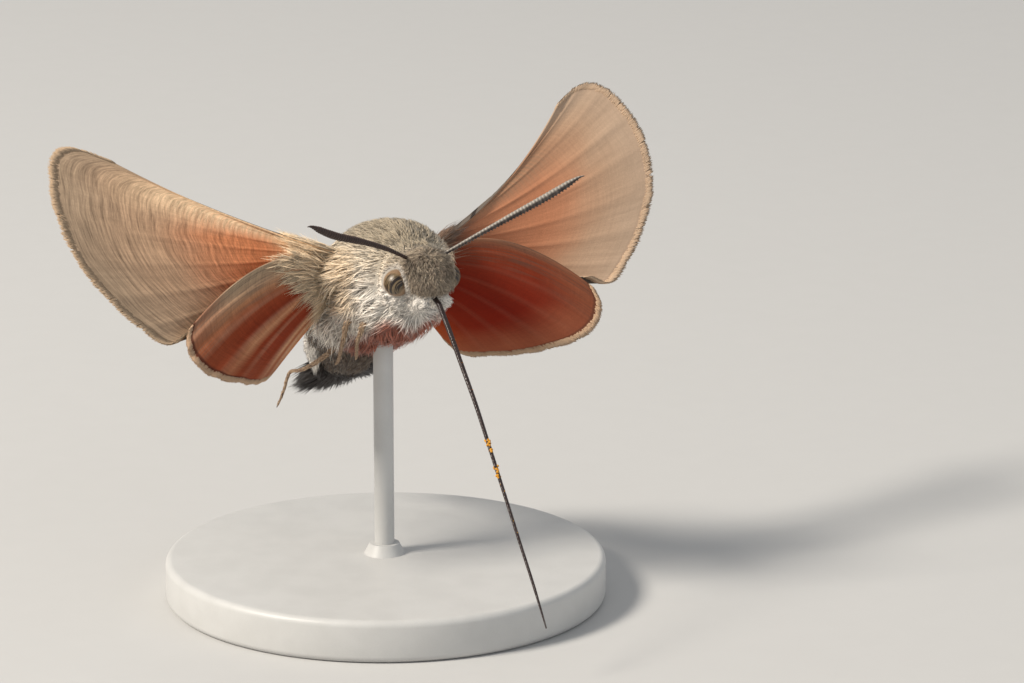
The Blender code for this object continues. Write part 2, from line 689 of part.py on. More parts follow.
def main():
    """Builds every piece."""
    start()
    body_clear = clearance("thorax", blob_mesh("c", THORAX_EGGS, THORAX_HEART, BODY_GRID, grown=GAP))
    thorax = add_object("thorax", blob_mesh("thorax", THORAX_EGGS, THORAX_HEART, BODY_GRID), "fur_grey")
    eye_clears = build_head(body_clear)
    cut(thorax, *eye_clears)
    abdomen_clear = build_abdomen(body_clear)

    add_object("stand_base", disc_mesh("stand_base"), "stand")
    foot = Vector((*ROD_PLACE, BASE_THICK + GAP)) * MM
    top = Vector((*ROD_PLACE, HINGE_MID.z + THORAX_HEART.z)) * MM
    rod = add_object("stand_rod", tube_mesh("rod", [foot, top], [ROD_RADIUS] * 2, ROD_SIDES), "stand")
    cut(rod, body_clear, abdomen_clear)

    for side, word in ((1, "left"), (-1, "right")):
        fore = wing(f"forewing_{word}", "wing_tan", forewing_rays(word), FORE_ROWS, side)
        cut(fore, body_clear)
        hind = wing(f"hindwing_{word}", "wing_rust", hindwing_rays(word), HIND_ROWS, side)
        cut(hind, body_clear, abdomen_clear)
        for name, places in LEG_PATHS.items():
            if name.endswith(word):
                leg = add_object(f"leg_{name}", leg_tube(places, side), "leg")
                cut(leg, body_clear, abdomen_clear)


main()
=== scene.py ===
"""The looks of a hummingbird hawk moth on a plain display stand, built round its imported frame.

Body places are in millimetres from the point midway between the two forewing hinges, where +X is the
moth's left, -Y the way it faces and +Z up.  at() turns them into metres in the frame.
"""

import logging
import math
from dataclasses import dataclass, field
from enum import Enum
from typing import Sequence

import bmesh
import bpy
import numpy as np
from mathutils import Matrix, Vector
from mathutils.kdtree import KDTree


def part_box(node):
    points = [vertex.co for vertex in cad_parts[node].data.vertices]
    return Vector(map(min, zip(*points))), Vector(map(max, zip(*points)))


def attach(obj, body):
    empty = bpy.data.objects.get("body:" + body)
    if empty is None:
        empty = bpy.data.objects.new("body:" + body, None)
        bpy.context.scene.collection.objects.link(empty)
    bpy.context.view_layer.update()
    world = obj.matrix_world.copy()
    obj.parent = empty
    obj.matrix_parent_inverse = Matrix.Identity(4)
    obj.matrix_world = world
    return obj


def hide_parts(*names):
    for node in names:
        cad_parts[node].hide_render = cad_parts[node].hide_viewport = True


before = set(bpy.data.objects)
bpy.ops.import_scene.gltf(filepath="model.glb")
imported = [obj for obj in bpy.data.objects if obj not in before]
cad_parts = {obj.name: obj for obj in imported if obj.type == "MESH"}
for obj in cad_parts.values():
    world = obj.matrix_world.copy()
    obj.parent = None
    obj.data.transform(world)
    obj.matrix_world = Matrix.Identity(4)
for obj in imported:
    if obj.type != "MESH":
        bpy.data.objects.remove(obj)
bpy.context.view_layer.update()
LOG = logging.getLogger("hawk_moth")
MM = 0.001
SEED = 20
ROOT_BODY = "root"
Colour = tuple[float, float, float]
Point = tuple[float, float, float]


def box_middle(node: str) -> Vector:
    """The middle of a node's box in the frame."""
    low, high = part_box(node)
    return (Vector(low) + Vector(high)) / 2


EYE_MIDDLE: Point = (1.95, -4.5, -1.5)
EYES_MIDDLE = (box_middle("eye_left") + box_middle("eye_right")) / 2
HINGE_MID = EYES_MIDDLE - Vector((0.0, EYE_MIDDLE[1], EYE_MIDDLE[2])) * MM


class Side(Enum):
    """The two sides of the moth, as the sign of X and the word in a node's name."""

    LEFT = (1, "left")
    RIGHT = (-1, "right")

    @property
    def sign(self) -> int:
        """The sign of X on this side."""
        return self.value[0]

    @property
    def word(self) -> str:
        """The side's word in names."""
        return self.value[1]


def at(point: Sequence[float]) -> Vector:
    """The frame's place, in metres, of a point in millimetres from the middle of the hinges."""
    return HINGE_MID + Vector(point) * MM


def mirrored(point: Sequence[float], side: Side) -> Vector:
    """A point of the left side as it is on the given side."""
    return Vector((point[0] * side.sign, point[1], point[2]))


def spline_point(points: Sequence[Vector], place: float) -> Vector:
    """A point on the Catmull-Rom curve through the points.

    Args:
        points: what the curve passes through.
        place: a whole or part index among them.

    Returns:
        The point on the curve.
    """
    ends = [points[0] * 2 - points[1], *points, points[-1] * 2 - points[-2]]
    first = max(0, min(int(place), len(points) - 2))
    t = place - first
    a, b, c, d = ends[first:first + 4]
    curve = 2 * b + (c - a) * t + (2 * a - 5 * b + 4 * c - d) * t ** 2 + (3 * b - a - 3 * c + d) * t ** 3
    return curve * 0.5


def spline(points: Sequence[Sequence[float]], count: int) -> list[Vector]:
    """Points spaced evenly in index along the curve through the given points."""
    vectors = [Vector(point) for point in points]
    last = len(vectors) - 1
    return [spline_point(vectors, step / (count - 1) * last) for step in range(count)]


def between(values: Sequence[float], share: float) -> float:
    """The value at a share of the way along a list."""
    return float(np.interp(share * (len(values) - 1), range(len(values)), values))


def rise(values: np.ndarray, low: float, high: float) -> np.ndarray:
    """0 below low, 1 above high and straight between them."""
    return np.clip((values - low) / (high - low), 0, 1)


def unit_rows(rows: np.ndarray) -> np.ndarray:
    """Each row at length 1."""
    return rows / (np.linalg.norm(rows, axis=1, keepdims=True) + 1e-9)


# The material writer


class Value:
    """A number in a material, on which sums are written as Python."""

    def __init__(self, graph: "Graph", socket: bpy.types.NodeSocket) -> None:
        """Keeps the graph and the socket that carries the number."""
        self.graph = graph
        self.socket = socket

    def _sum(self, operation: str, one: object, two: object = 0.0, three: object = 0.0) -> "Value":
        """Adds one Math node."""
        node = self.graph.node("ShaderNodeMath", {"operation": operation}, {0: one, 1: two, 2: three})
        return Value(self.graph, node.outputs[0])

    def __add__(self, other: object) -> "Value":
        """Sum."""
        return self._sum("ADD", self, other)

    __radd__ = __add__

    def __sub__(self, other: object) -> "Value":
        """Difference."""
        return self._sum("SUBTRACT", self, other)

    def __rsub__(self, other: object) -> "Value":
        """Difference from a plain number."""
        return self._sum("SUBTRACT", other, self)

    def __mul__(self, other: object) -> "Value":
        """Product."""
        return self._sum("MULTIPLY", self, other)

    __rmul__ = __mul__

    def __pow__(self, other: object) -> "Value":
        """Power."""
        return self._sum("POWER", self, other)

    def abs(self) -> "Value":
        """The size without its sign."""
        return self._sum("ABSOLUTE", self)

    def sin(self) -> "Value":
        """Sine of an angle in radians."""
        return self._sum("SINE", self)

    def fract(self) -> "Value":
        """The part after the point."""
        return self._sum("FRACT", self)

    def most(self, other: object) -> "Value":
        """The larger of two."""
        return self._sum("MAXIMUM", self, other)

    def step(self, low: float, high: float) -> "Value":
        """A smooth step from 0 at low to 1 at high."""
        settings = {"interpolation_type": "SMOOTHSTEP"}
        flip = low > high
        ends = {1: min(low, high), 2: max(low, high), 3: 1.0 if flip else 0.0, 4: 0.0 if flip else 1.0}
        node = self.graph.node("ShaderNodeMapRange", settings, {0: self, **ends})
        return Value(self.graph, node.outputs[0])

    def band(self, middle: float, half: float, soft: float) -> "Value":
        """1 within half of the middle, fading to 0 over soft."""
        return (self - middle).abs().step(half + soft, half)


class Tint:
    """A colour in a material."""

    def __init__(self, graph: "Graph", socket: bpy.types.NodeSocket) -> None:
        """Keeps the graph and the socket that carries the colour."""
        self.graph = graph
        self.socket = socket

    def mix(self, other: object, factor: object) -> "Tint":
        """This colour mixed with another by a factor."""
        settings = {"data_type": "RGBA", "clamp_factor": True}
        node = self.graph.node("ShaderNodeMix", settings, {0: factor, 6: self, 7: other})
        return Tint(self.graph, node.outputs[2])

    def shaded(self, amount: object) -> "Tint":
        """This colour times a number."""
        node = self.graph.node("ShaderNodeVectorMath", {"operation": "SCALE"}, {0: self, 3: amount})
        return Tint(self.graph, node.outputs[0])


class Graph:
    """The nodes of one material."""

    def __init__(self, name: str) -> None:
        """Makes the material and finds its main shader."""
        self.material = bpy.data.materials.new(name)
        self.material.use_nodes = True
        self.tree = self.material.node_tree
        self.shader = self.tree.nodes["Principled BSDF"]

    def node(self, kind: str, settings: dict, inputs: dict) -> bpy.types.Node:
        """Adds any node.

        Args:
            kind: the node's type.
            settings: its properties, set first.
            inputs: its sockets, by name or number, with a number, a colour or a link.

        Returns:
            The new node.
        """
        node = self.tree.nodes.new(kind)
        for key, value in settings.items():
            setattr(node, key, value)
        for key, value in inputs.items():
            if isinstance(value, (Value, Tint)):
                self.tree.links.new(value.socket, node.inputs[key])
            elif isinstance(value, bpy.types.NodeSocket):
                self.tree.links.new(value, node.inputs[key])
            elif isinstance(value, tuple) and len(value) == 3 and len(node.inputs[key].default_value) == 4:
                node.inputs[key].default_value = (*value, 1.0)
            else:
                node.inputs[key].default_value = value
        return node

    def ramp(self, factor: Value, stops: Sequence[tuple[float, Colour]]) -> Tint:
        """A colour ramp over a factor."""
        node = self.node("ShaderNodeValToRGB", {}, {0: factor})
        elements = node.color_ramp.elements
        while len(elements) < len(stops):
            elements.new(0.5)
        for element, (place, colour) in zip(elements, sorted(stops)):
            element.position = place
            element.color = (*colour, 1.0)
        return Tint(self, node.outputs[0])

    def colour(self, colour: Colour) -> Tint:
        """One colour, as the start of a mix."""
        node = self.node("ShaderNodeRGB", {}, {})
        node.outputs[0].default_value = (*colour, 1.0)
        return Tint(self, node.outputs[0])

    def body_place(self) -> tuple[bpy.types.NodeSocket, Value, Value, Value]:
        """The place in millimetres from the middle of the hinges, whole and as X, Y and Z."""
        source = self.node("ShaderNodeTexCoord", {}, {})
        ends = {0: source.outputs["Object"], 1: tuple(HINGE_MID)}
        centre = self.node("ShaderNodeVectorMath", {"operation": "SUBTRACT"}, ends)
        ends = {0: centre.outputs[0], 3: 1.0 / MM}
        scaled = self.node("ShaderNodeVectorMath", {"operation": "SCALE"}, ends)
        parts = self.node("ShaderNodeSeparateXYZ", {}, {0: scaled.outputs[0]})
        return scaled.outputs[0], *(Value(self, parts.outputs[i]) for i in range(3))

    def attribute(self, name: str) -> Value:
        """A number stored on the mesh."""
        node = self.node("ShaderNodeAttribute", {"attribute_name": name}, {})
        return Value(self, node.outputs["Fac"])

    def uv(self, name: str) -> tuple[Value, Value]:
        """The two numbers of a UV map."""
        source = self.node("ShaderNodeUVMap", {"uv_map": name}, {})
        parts = self.node("ShaderNodeSeparateXYZ", {}, {0: source.outputs[0]})
        return Value(self, parts.outputs[0]), Value(self, parts.outputs[1])

    def point(self, x: object, y: object, z: object = 0.0) -> bpy.types.NodeSocket:
        """A vector from three numbers."""
        return self.node("ShaderNodeCombineXYZ", {}, {0: x, 1: y, 2: z}).outputs[0]

    def noise(
        self, vector: bpy.types.NodeSocket, scale: float, detail: float = 2.0, rough: float = 0.55
    ) -> Value:
        """Smooth noise from 0 to 1."""
        inputs = {"Vector": vector, "Scale": scale, "Detail": detail, "Roughness": rough}
        node = self.node("ShaderNodeTexNoise", {}, inputs)
        return Value(self, node.outputs[0])

    def cells(self, vector: bpy.types.NodeSocket, scale: float) -> Value:
        """Distance from the middle of the nearest cell."""
        node = self.node("ShaderNodeTexVoronoi", {}, {"Vector": vector, "Scale": scale})
        return Value(self, node.outputs["Distance"])

    def finish(
        self, colour: Tint, rough: object, bump: object = None, depth: float = 0.0, **fixed: float
    ) -> None:
        """Feeds the shader.

        Args:
            colour: the base colour.
            rough: the roughness, a number or a Value.
            bump: height of the bump, from 0 to 1.
            depth: what a height of 1 is, in millimetres.
            fixed: numbers for the shader's other sockets, with _ for a space.
        """
        self.tree.links.new(colour.socket, self.shader.inputs["Base Color"])
        if isinstance(rough, Value):
            self.tree.links.new(rough.socket, self.shader.inputs["Roughness"])
        else:
            self.shader.inputs["Roughness"].default_value = rough
        if bump is not None:
            inputs = {"Height": bump, "Distance": depth * MM, "Strength": 1.0}
            node = self.node("ShaderNodeBump", {}, inputs)
            self.tree.links.new(node.outputs[0], self.shader.inputs["Normal"])
        for key, value in fixed.items():
            self.shader.inputs[key.replace("_", " ")].default_value = value


# Finishes


@dataclass(frozen=True)
class BodyMarkings:
    """The colours of the coat, by place on the body, alike on the skin and on every tuft.

    Attributes:
        back: the upper side, between streaks of back_dark.
        flank: the sides, between patches of crease, a painted shade in the creases between locks.
        white: the lower sides, the cheeks, the palps and the ring round each eye.
        cream: the hair over the wing roots.
        face: the brow and crown, between specks of face_dark.
        belly: painted shade tinted by a painted reddish reflection, over the middle of the underside, whose
            own fur is pale.
        abdomen: the abdomen, streaked with the back's colour.
        tail: the tail fan.
        face_line: where the white cheeks turn into the brown face, by height.
        eye_ring: where the ring round an eye fades, from the eye's middle.
    """

    back: Colour = (0.44, 0.365, 0.265)
    back_dark: Colour = (0.15, 0.125, 0.09)
    flank: Colour = (0.86, 0.745, 0.59)
    white: Colour = (0.90, 0.85, 0.78)
    cream: Colour = (0.83, 0.665, 0.47)
    face: Colour = (0.34, 0.27, 0.20)
    face_dark: Colour = (0.13, 0.09, 0.065)
    crease: Colour = (0.42, 0.29, 0.19)
    belly: Colour = (0.40, 0.11, 0.06)
    abdomen: Colour = (0.115, 0.082, 0.06)
    tail: Colour = (0.02, 0.013, 0.011)
    face_line: tuple[float, float] = (-2.55, -2.15)
    eye_ring: tuple[float, float] = (1.1, 1.5)

    def colour(self, graph: Graph) -> Tint:
        """Writes the markings.

        Args:
            graph: the material they go into.

        Returns:
            The colour at each place.
        """
        place, x, y, z = graph.body_place()
        wide = x.abs()
        patch = graph.noise(place, 0.9, 3.0)
        streak = graph.noise(place, 2.6, 3.0, 0.7)
        height = z + y.step(2.0, 10.0) * 8.0
        top = (height + patch * 1.3 + wide * -0.15).step(-0.4, 1.6)
        low = (height * -1.0 + patch).step(0.6, 3.4)
        tint = graph.colour(self.flank).mix(self.white, low * 0.85)
        # Painted shade in the creases between locks of fur on the flank.
        tint = tint.mix(self.crease, streak.step(0.56, 0.74) * 0.6)
        tint = tint.mix(self.back, top)
        tint = tint.mix(self.back_dark, top * streak.step(0.52, 0.74) * 0.5)
        root = (wide + patch * 0.5).step(3.6, 4.5) * z.step(-5.4, -4.0)
        tint = tint.mix(self.cream, root * 0.9)
        # Painted shade and a painted reddish reflection over the middle of the underside, where the fur
        # itself is pale.
        under = (z * -1.0 + y * -0.35 + patch * 0.8 - 5.9).step(-0.2, 0.7) * (1.0 - wide.step(1.9, 3.1))
        tint = tint.mix(self.belly, under * 0.95)
        tint = self._head(graph, tint, streak, wide, y, z)
        rear = (y + z * -0.5 + patch).step(8.6, 10.2)
        dark = graph.colour(self.abdomen).mix(self.back, streak.step(0.45, 0.8) * 0.45)
        tint = tint.mix(dark, rear)
        tip = (y + z * -0.8).step(17.2, 18.8)
        return tint.mix(self.tail, tip)

    def _head(self, graph: Graph, tint: Tint, streak: Value, wide: Value, y: Value, z: Value) -> Tint:
        """The brown face over white cheeks and palps, with a pale ring round each eye."""
        ahead = (y * -1.0 + wide * -0.15).step(2.6, 3.6)
        brow = graph.colour(self.face).mix(self.back, streak.step(0.4, 0.7) * 0.45)
        brow = brow.mix(self.face_dark, (1.0 - streak.step(0.3, 0.48)) * 0.5)
        upper = (z + wide * -0.1 + (streak - 0.5) * 0.5).step(*self.face_line)
        tint = tint.mix(self.white, ahead * (1.0 - upper))
        crown = (y * -1.0 + (streak - 0.5) * 1.5).step(3.0, 5.2)
        tint = tint.mix(brow, crown * upper)
        gap = [wide - EYE_MIDDLE[0], y - EYE_MIDDLE[1], z - EYE_MIDDLE[2]]
        away = (gap[0] * gap[0] + gap[1] * gap[1] + gap[2] * gap[2]) ** 0.5
        return tint.mix(self.white, (1.0 - away.step(*self.eye_ring)) * 0.6)


@dataclass(frozen=True)
class CoatFinish:
    """Fur: the markings, each tuft a little lighter or darker, with painted shade at its root and at the
    edges of its lock.
    """

    name: str = "coat"
    markings: BodyMarkings = BodyMarkings()

    def material(self) -> bpy.types.Material:
        """The coat's material."""
        graph = Graph(self.name)
        shade = graph.attribute("tuft_shade")
        along = graph.attribute("tuft_along")
        tint = self.markings.colour(graph)
        tint = tint.mix(self.markings.white, graph.attribute("tuft_pale"))
        tint = tint.mix(self.markings.tail, graph.attribute("tuft_dark"))
        # Painted shade: darker toward each tuft's root, and by tuft_shade at the edges of locks.
        tint = tint.shaded((0.56 + along * 0.48) * (0.68 + shade * 0.56))
        graph.finish(tint, 0.5 + shade * 0.2, Sheen_Weight=0.08, Sheen_Roughness=0.5, Specular_IOR_Level=0.35)
        return graph.material


@dataclass(frozen=True)
class SkinFinish:
    """The skin under the coat, with the same markings in shade and a felt of short scales."""

    markings: BodyMarkings = BodyMarkings()

    def material(self) -> bpy.types.Material:
        """The skin's material."""
        graph = Graph("skin")
        place, _, _, _ = graph.body_place()
        felt = graph.noise(place, 14.0, 3.0, 0.7)
        tint = self.markings.colour(graph).shaded(0.34 + felt * 0.4)
        graph.finish(tint, 0.85, felt, 0.08, Specular_IOR_Level=0.2)
        return graph.material


@dataclass(frozen=True)
class ScaledWing:
    """What the finishes of all four wings share: the scales, the upper face's bands and the margin.

    Attributes:
        name: the material's name.
        upper: the upper face, with bands of upper_mark.
        margin: the pale outer margin and the fringe's tips.
        line: the thin dark line before the margin.
        fringe_root: the roots of the fringe's scales, darker than the margin as painted shade.
        streaks: how strong the streaks across the veins are.
        line_strength: how dark the line is.
        edge_from: where the margin and its line begin, from 0 at the front to 1 at the rear.
    """

    name: str
    upper: Colour
    upper_mark: Colour
    margin: Colour
    line: Colour
    fringe_root: Colour
    streaks: float
    line_strength: float
    edge_from: tuple[float, float]

    def lower(self, graph: Graph, span: Value, vein: Value, patch: Value) -> Tint:
        """The colours of the lower face before its scales are drawn."""
        raise NotImplementedError

    def material(self) -> bpy.types.Material:
        """The wing's material."""
        graph = Graph(self.name)
        span, vein = graph.uv("WingMap")
        place, _, _, _ = graph.body_place()
        scale = graph.noise(place, 10.0, 3.0, 0.75)
        patch = graph.noise(graph.point(span * 3.0, vein * 3.4, 4.0), 1.0, 2.0)
        rays = graph.noise(graph.point(span * 5.0, vein * 70.0), 1.0, 3.0, 0.6)
        cross = graph.noise(graph.point(span * 95.0 + patch * 5.0, vein * 7.0), 1.0, 4.0, 0.7)
        edge = span + (cross - 0.5) * 0.012
        tint = self.lower(graph, span, vein, patch)
        tint = tint.shaded(1.0 + (cross - 0.5) * 2.0 * self.streaks * span.step(0.05, 0.5))
        tint = tint.shaded(0.72 + rays * 0.34 + patch * 0.22)
        bordered = vein.step(*self.edge_from)
        line = edge.band(0.979, 0.003, 0.009) * bordered * self.line_strength
        tint = tint.mix(self.line, line)
        tint = tint.mix(self.margin, edge.step(0.984, 0.996) * bordered)
        top = graph.colour(self.upper).mix(self.upper_mark, self.bands(span, vein, patch))
        tint = tint.mix(top, graph.attribute("upper_face")).shaded(0.82 + scale * 0.36)
        bump = scale * 0.5 + rays * 0.35 + cross * min(self.streaks, 1.0) * 0.3
        graph.finish(tint, 0.7 + scale * 0.2, bump, 0.035, Specular_IOR_Level=0.12)
        return graph.material

    def bands(self, span: Value, vein: Value, patch: Value) -> Value:
        """The dark marks of the upper face."""
        raise NotImplementedError


@dataclass(frozen=True)
class ForewingFinish(ScaledWing):
    """Tan below with an orange disc and a pale front edge, grey-brown with dark bands above."""

    root: Colour
    disc: Colour
    outer: Colour
    tip: Colour
    costa: Colour
    rear: Colour
    disc_reach: tuple[float, float]

    def lower(self, graph: Graph, span: Value, vein: Value, patch: Value) -> Tint:
        """The disc, the tan outer part, the pale front edge and the brown inner margin."""
        reach = span + (patch - 0.5) * 0.2
        tint = graph.colour(self.root).mix(self.disc, reach.step(0.16, 0.34))
        tint = tint.mix(self.outer, reach.step(*self.disc_reach))
        tint = tint.mix(self.tip, reach.step(0.66, 0.98))
        tint = tint.mix(self.rear, vein.step(0.6, 0.98) * (1.0 - reach.step(0.45, 0.8)) * 0.8)
        ribs = (span * 300.0).sin() * 0.5 + 0.5
        wide = vein + (patch - 0.5) * 0.15
        front = (1.0 - wide.step(0.19, 0.38)) * (0.78 + ribs * 0.22) * (1.0 - span.step(0.6, 0.9))
        return tint.mix(self.costa, front)

    def bands(self, span: Value, vein: Value, patch: Value) -> Value:
        """Two wavy cross bands, a spot between them and a darker margin."""
        wave = (vein * 19.0).sin() * 0.012 + (patch - 0.5) * 0.05
        inner = (span + wave).band(0.3, 0.012, 0.014)
        outer = (span + wave * 1.4 + (vein - 0.5).abs() * 0.1).band(0.66, 0.014, 0.018)
        edge = span.step(0.86, 0.99) * 0.7
        spot = span.band(0.47, 0.012, 0.01) * vein.band(0.27, 0.02, 0.02)
        return inner.most(outer).most(edge).most(spot)


@dataclass(frozen=True)
class HindwingFinish(ScaledWing):
    """Rust below in bands between its pleats, orange with a dark margin above."""

    bands_below: tuple[tuple[float, Colour], ...]
    root: Colour
    outer: Colour
    hairs: Colour
    pleats: float

    def lower(self, graph: Graph, span: Value, vein: Value, patch: Value) -> Tint:
        """Bands along the veins, paler at the root and thinly veined with tan."""
        place = vein + (patch - 0.5) * 0.05
        tint = graph.ramp(place, self.bands_below)
        beside = ((vein * 8.0).fract() - 0.5).abs() * 2.0
        ridge = beside.step(0.55, 0.98) * span.step(0.12, 0.3) * self.pleats
        tint = tint.mix(self.margin, ridge)
        tint = tint.mix(self.outer, (span + (patch - 0.5) * 0.2).step(0.7, 0.95) * 0.6)
        hair = graph.noise(graph.point(span * 4.0, vein * 90.0, 9.0), 1.0, 3.0, 0.6)
        front = 1.0 - vein.step(0.12, 0.32)
        tint = tint.mix(self.hairs, hair.step(0.46, 0.62) * front * 0.65)
        return tint.mix(self.root, 1.0 - (span + (patch - 0.5) * 0.2).step(0.02, 0.22))

    def bands(self, span: Value, vein: Value, patch: Value) -> Value:
        """The dark outer margin and the dark base."""
        return (span + (patch - 0.5) * 0.08).step(0.74, 0.9).most(1.0 - span.step(0.02, 0.16))


@dataclass(frozen=True)
class EyeFinish:
    """A compound eye: olive brown with darker slanted bars that lie in it, and a pale rear rim."""

    pale: Colour = (0.25, 0.155, 0.085)
    dark: Colour = (0.014, 0.009, 0.007)
    olive: Colour = (0.14, 0.10, 0.055)
    axis: Point = (0.74, -0.66, 0.1)

    def material(self) -> bpy.types.Material:
        """The eye's material."""
        graph = Graph("compound_eye")
        place, x, y, z = graph.body_place()
        along = y - EYE_MIDDLE[1]
        height = z - EYE_MIDDLE[2]
        facing = (x.abs() - EYE_MIDDLE[0]) * self.axis[0] + along * self.axis[1] + height * self.axis[2]
        bars = graph.noise(graph.point(along * 4.2 + height * 1.2, height * 0.35, 2.0), 1.5, 2.0)
        tint = graph.colour(self.olive).mix(self.dark, bars.step(0.44, 0.52))
        tint = tint.mix(self.pale, (1.0 - facing.step(0.5, 0.7)) * 0.85)
        facets = graph.cells(place, 26.0)
        tint = tint.shaded(0.8 + facets * 0.5)
        gloss = {"Coat_Weight": 0.12, "Coat_Roughness": 0.15, "Specular_IOR_Level": 0.4}
        graph.finish(tint, 0.24 + facets * 0.1, facets, 0.006, **gloss)
        return graph.material


@dataclass(frozen=True)
class HornFinish:
    """Smooth horn with fine rings and a pale stripe along it, which on the tongue is a painted highlight: the
    feelers, the tongue and the legs.
    """

    name: str
    dark: Colour
    light: Colour
    gloss: float
    rings: float
    stripe_and_highlight: float = 0.4
    stripe_and_highlight_turn: float = 0.0
    ring_depth: float = 0.2

    def material(self) -> bpy.types.Material:
        """The horn's material."""
        graph = Graph(self.name)
        place, _, _, _ = graph.body_place()
        along, around = graph.uv("TubeMap")
        blotch = graph.noise(place, 2.2, 3.0)
        grain = graph.noise(place, 22.0, 2.0, 0.7)
        ring = (along * self.rings).fract().band(0.5, 0.14, 0.2)
        # A pale stripe along one side: scales on a feeler, a painted highlight on the tongue.
        turn = ((around + (0.5 - self.stripe_and_highlight_turn)).fract() - 0.5).abs()
        stripe_and_highlight = (1.0 - turn.step(0.1, 0.24)) * self.stripe_and_highlight
        tint = graph.colour(self.dark).mix(self.light, blotch.step(0.42, 0.7) * 0.2 + stripe_and_highlight)
        tint = tint.shaded(0.8 + grain * 0.4 - ring * self.ring_depth)
        graph.finish(tint, self.gloss + grain * 0.12, ring * 0.6 + grain * 0.4, 0.02, Specular_IOR_Level=0.5)
        return graph.material


@dataclass(frozen=True)
class PollenFinish:
    """Orange-yellow pollen grains."""

    light: Colour = (0.74, 0.36, 0.02)
    deep: Colour = (0.42, 0.15, 0.008)

    def material(self) -> bpy.types.Material:
        """The pollen's material."""
        graph = Graph("pollen")
        place, _, _, _ = graph.body_place()
        grain = graph.noise(place, 18.0, 2.0)
        tint = graph.colour(self.deep).mix(self.light, grain.step(0.35, 0.6))
        graph.finish(tint, 0.7, grain, 0.02)
        return graph.material


@dataclass(frozen=True)
class StandFinish:
    """Satin off-white resin with a faint cast texture."""

    light: Colour = (0.55, 0.545, 0.53)
    deep: Colour = (0.52, 0.515, 0.50)

    def material(self) -> bpy.types.Material:
        """The stand's material."""
        graph = Graph("stand_resin")
        place, _, _, _ = graph.body_place()
        cloud = graph.noise(place, 0.35, 4.0)
        grain = graph.noise(place, 9.0, 3.0, 0.7)
        tint = graph.colour(self.deep).mix(self.light, cloud.step(0.3, 0.65))
        tint = tint.shaded(0.96 + grain * 0.06)
        graph.finish(tint, 0.34 + cloud * 0.14, grain, 0.012, Specular_IOR_Level=0.4)
        return graph.material


@dataclass(frozen=True)
class ScaleFinish:
    """Loose scales of two colours, darker at the root as painted shade: the wings' fringes and the legs'
    coat.
    """

    name: str
    light: Colour
    deep: Colour

    def material(self) -> bpy.types.Material:
        """The scales' material."""
        graph = Graph(self.name)
        shade = graph.attribute("tuft_shade")
        along = graph.attribute("tuft_along")
        # Deep toward the root: painted shade at the scales' roots.
        tint = graph.colour(self.deep).mix(self.light, along * 0.65 + shade * 0.4)
        graph.finish(tint, 0.6 + shade * 0.2, Specular_IOR_Level=0.3)
        return graph.material


# Meshes


def add_piece(
    name: str, mesh: bpy.types.Mesh, material: bpy.types.Material, nodes: Sequence[str]
) -> bpy.types.Object:
    """Makes a finished piece of the model, hangs it from the root body and hides the frame's nodes that it
    stands for.

    Args:
        name: the piece's name.
        mesh: its mesh, in the frame's metres.
        material: its finish.
        nodes: the frame's nodes that it stands for.

    Returns:
        The piece.
    """
    piece = bpy.data.objects.new(name, mesh)
    bpy.context.scene.collection.objects.link(piece)
    mesh.materials.clear()
    mesh.materials.append(material)
    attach(piece, ROOT_BODY)
    if nodes:
        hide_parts(*nodes)
    LOG.info("%s: %d faces", name, len(mesh.polygons))
    return piece


def mesh_from(bm: bmesh.types.BMesh, name: str) -> bpy.types.Mesh:
    """A smooth-shaded mesh from a bmesh, which is freed."""
    mesh = bpy.data.meshes.new(name)
    bm.to_mesh(mesh)
    bm.free()
    mesh.shade_smooth()
    return mesh


def sweep(
    bm: bmesh.types.BMesh, path: Sequence[Vector], radii: Sequence[float], sides: int, flat: float = 1.0
) -> None:
    """Sweeps a round section along a path, with closed ends and a map of length and turn.

    Args:
        bm: what it is added to.
        path: the middles of the sections, in millimetres.
        radii: their radii.
        sides: corners of a section.
        flat: height of a section over its width.
    """
    layer = bm.loops.layers.uv.get("TubeMap") or bm.loops.layers.uv.new("TubeMap")
    rings = []
    last = len(path) - 1
    for index, middle in enumerate(path):
        ahead = (path[min(index + 1, last)] - path[max(index - 1, 0)]).normalized()
        side = ahead.cross(Vector((0, 0, 1)))
        side = side.normalized() if side.length > 0.05 else Vector((1, 0, 0))
        up = side.cross(ahead)
        made = bmesh.ops.create_circle(bm, segments=sides, radius=radii[index])["verts"]
        for vert in made:
            vert.co = at(middle + side * vert.co.x + up * vert.co.y * flat)
        rings.append(made)
    for index in range(last):
        for step in range(sides):
            after = (step + 1) % sides
            near, far = rings[index], rings[index + 1]
            face = bm.faces.new((near[step], near[after], far[after], far[step]))
            turns = (step, step + 1, step + 1, step)
            lengths = (index, index, index + 1, index + 1)
            for loop, turn, length in zip(face.loops, turns, lengths):
                loop[layer].uv = (length / last, turn / sides)
    for ring in (rings[0], rings[-1]):
        bm.faces.new(ring)


@dataclass
class Roots:
    """Where the tufts of a coat grow: places in millimetres, the way out and the way each lies."""

    places: np.ndarray
    normals: np.ndarray
    lies: np.ndarray
    uv: np.ndarray

    def kept(self, keep: np.ndarray) -> "Roots":
        """The roots that are marked to stay."""
        return Roots(self.places[keep], self.normals[keep], self.lies[keep], self.uv[keep])

    def straightened(self) -> "Roots":
        """The same roots with each lie along the surface, at length 1."""
        flat = self.lies - self.normals * (self.lies * self.normals).sum(1, keepdims=True)
        return Roots(self.places, self.normals, unit_rows(flat), self.uv)


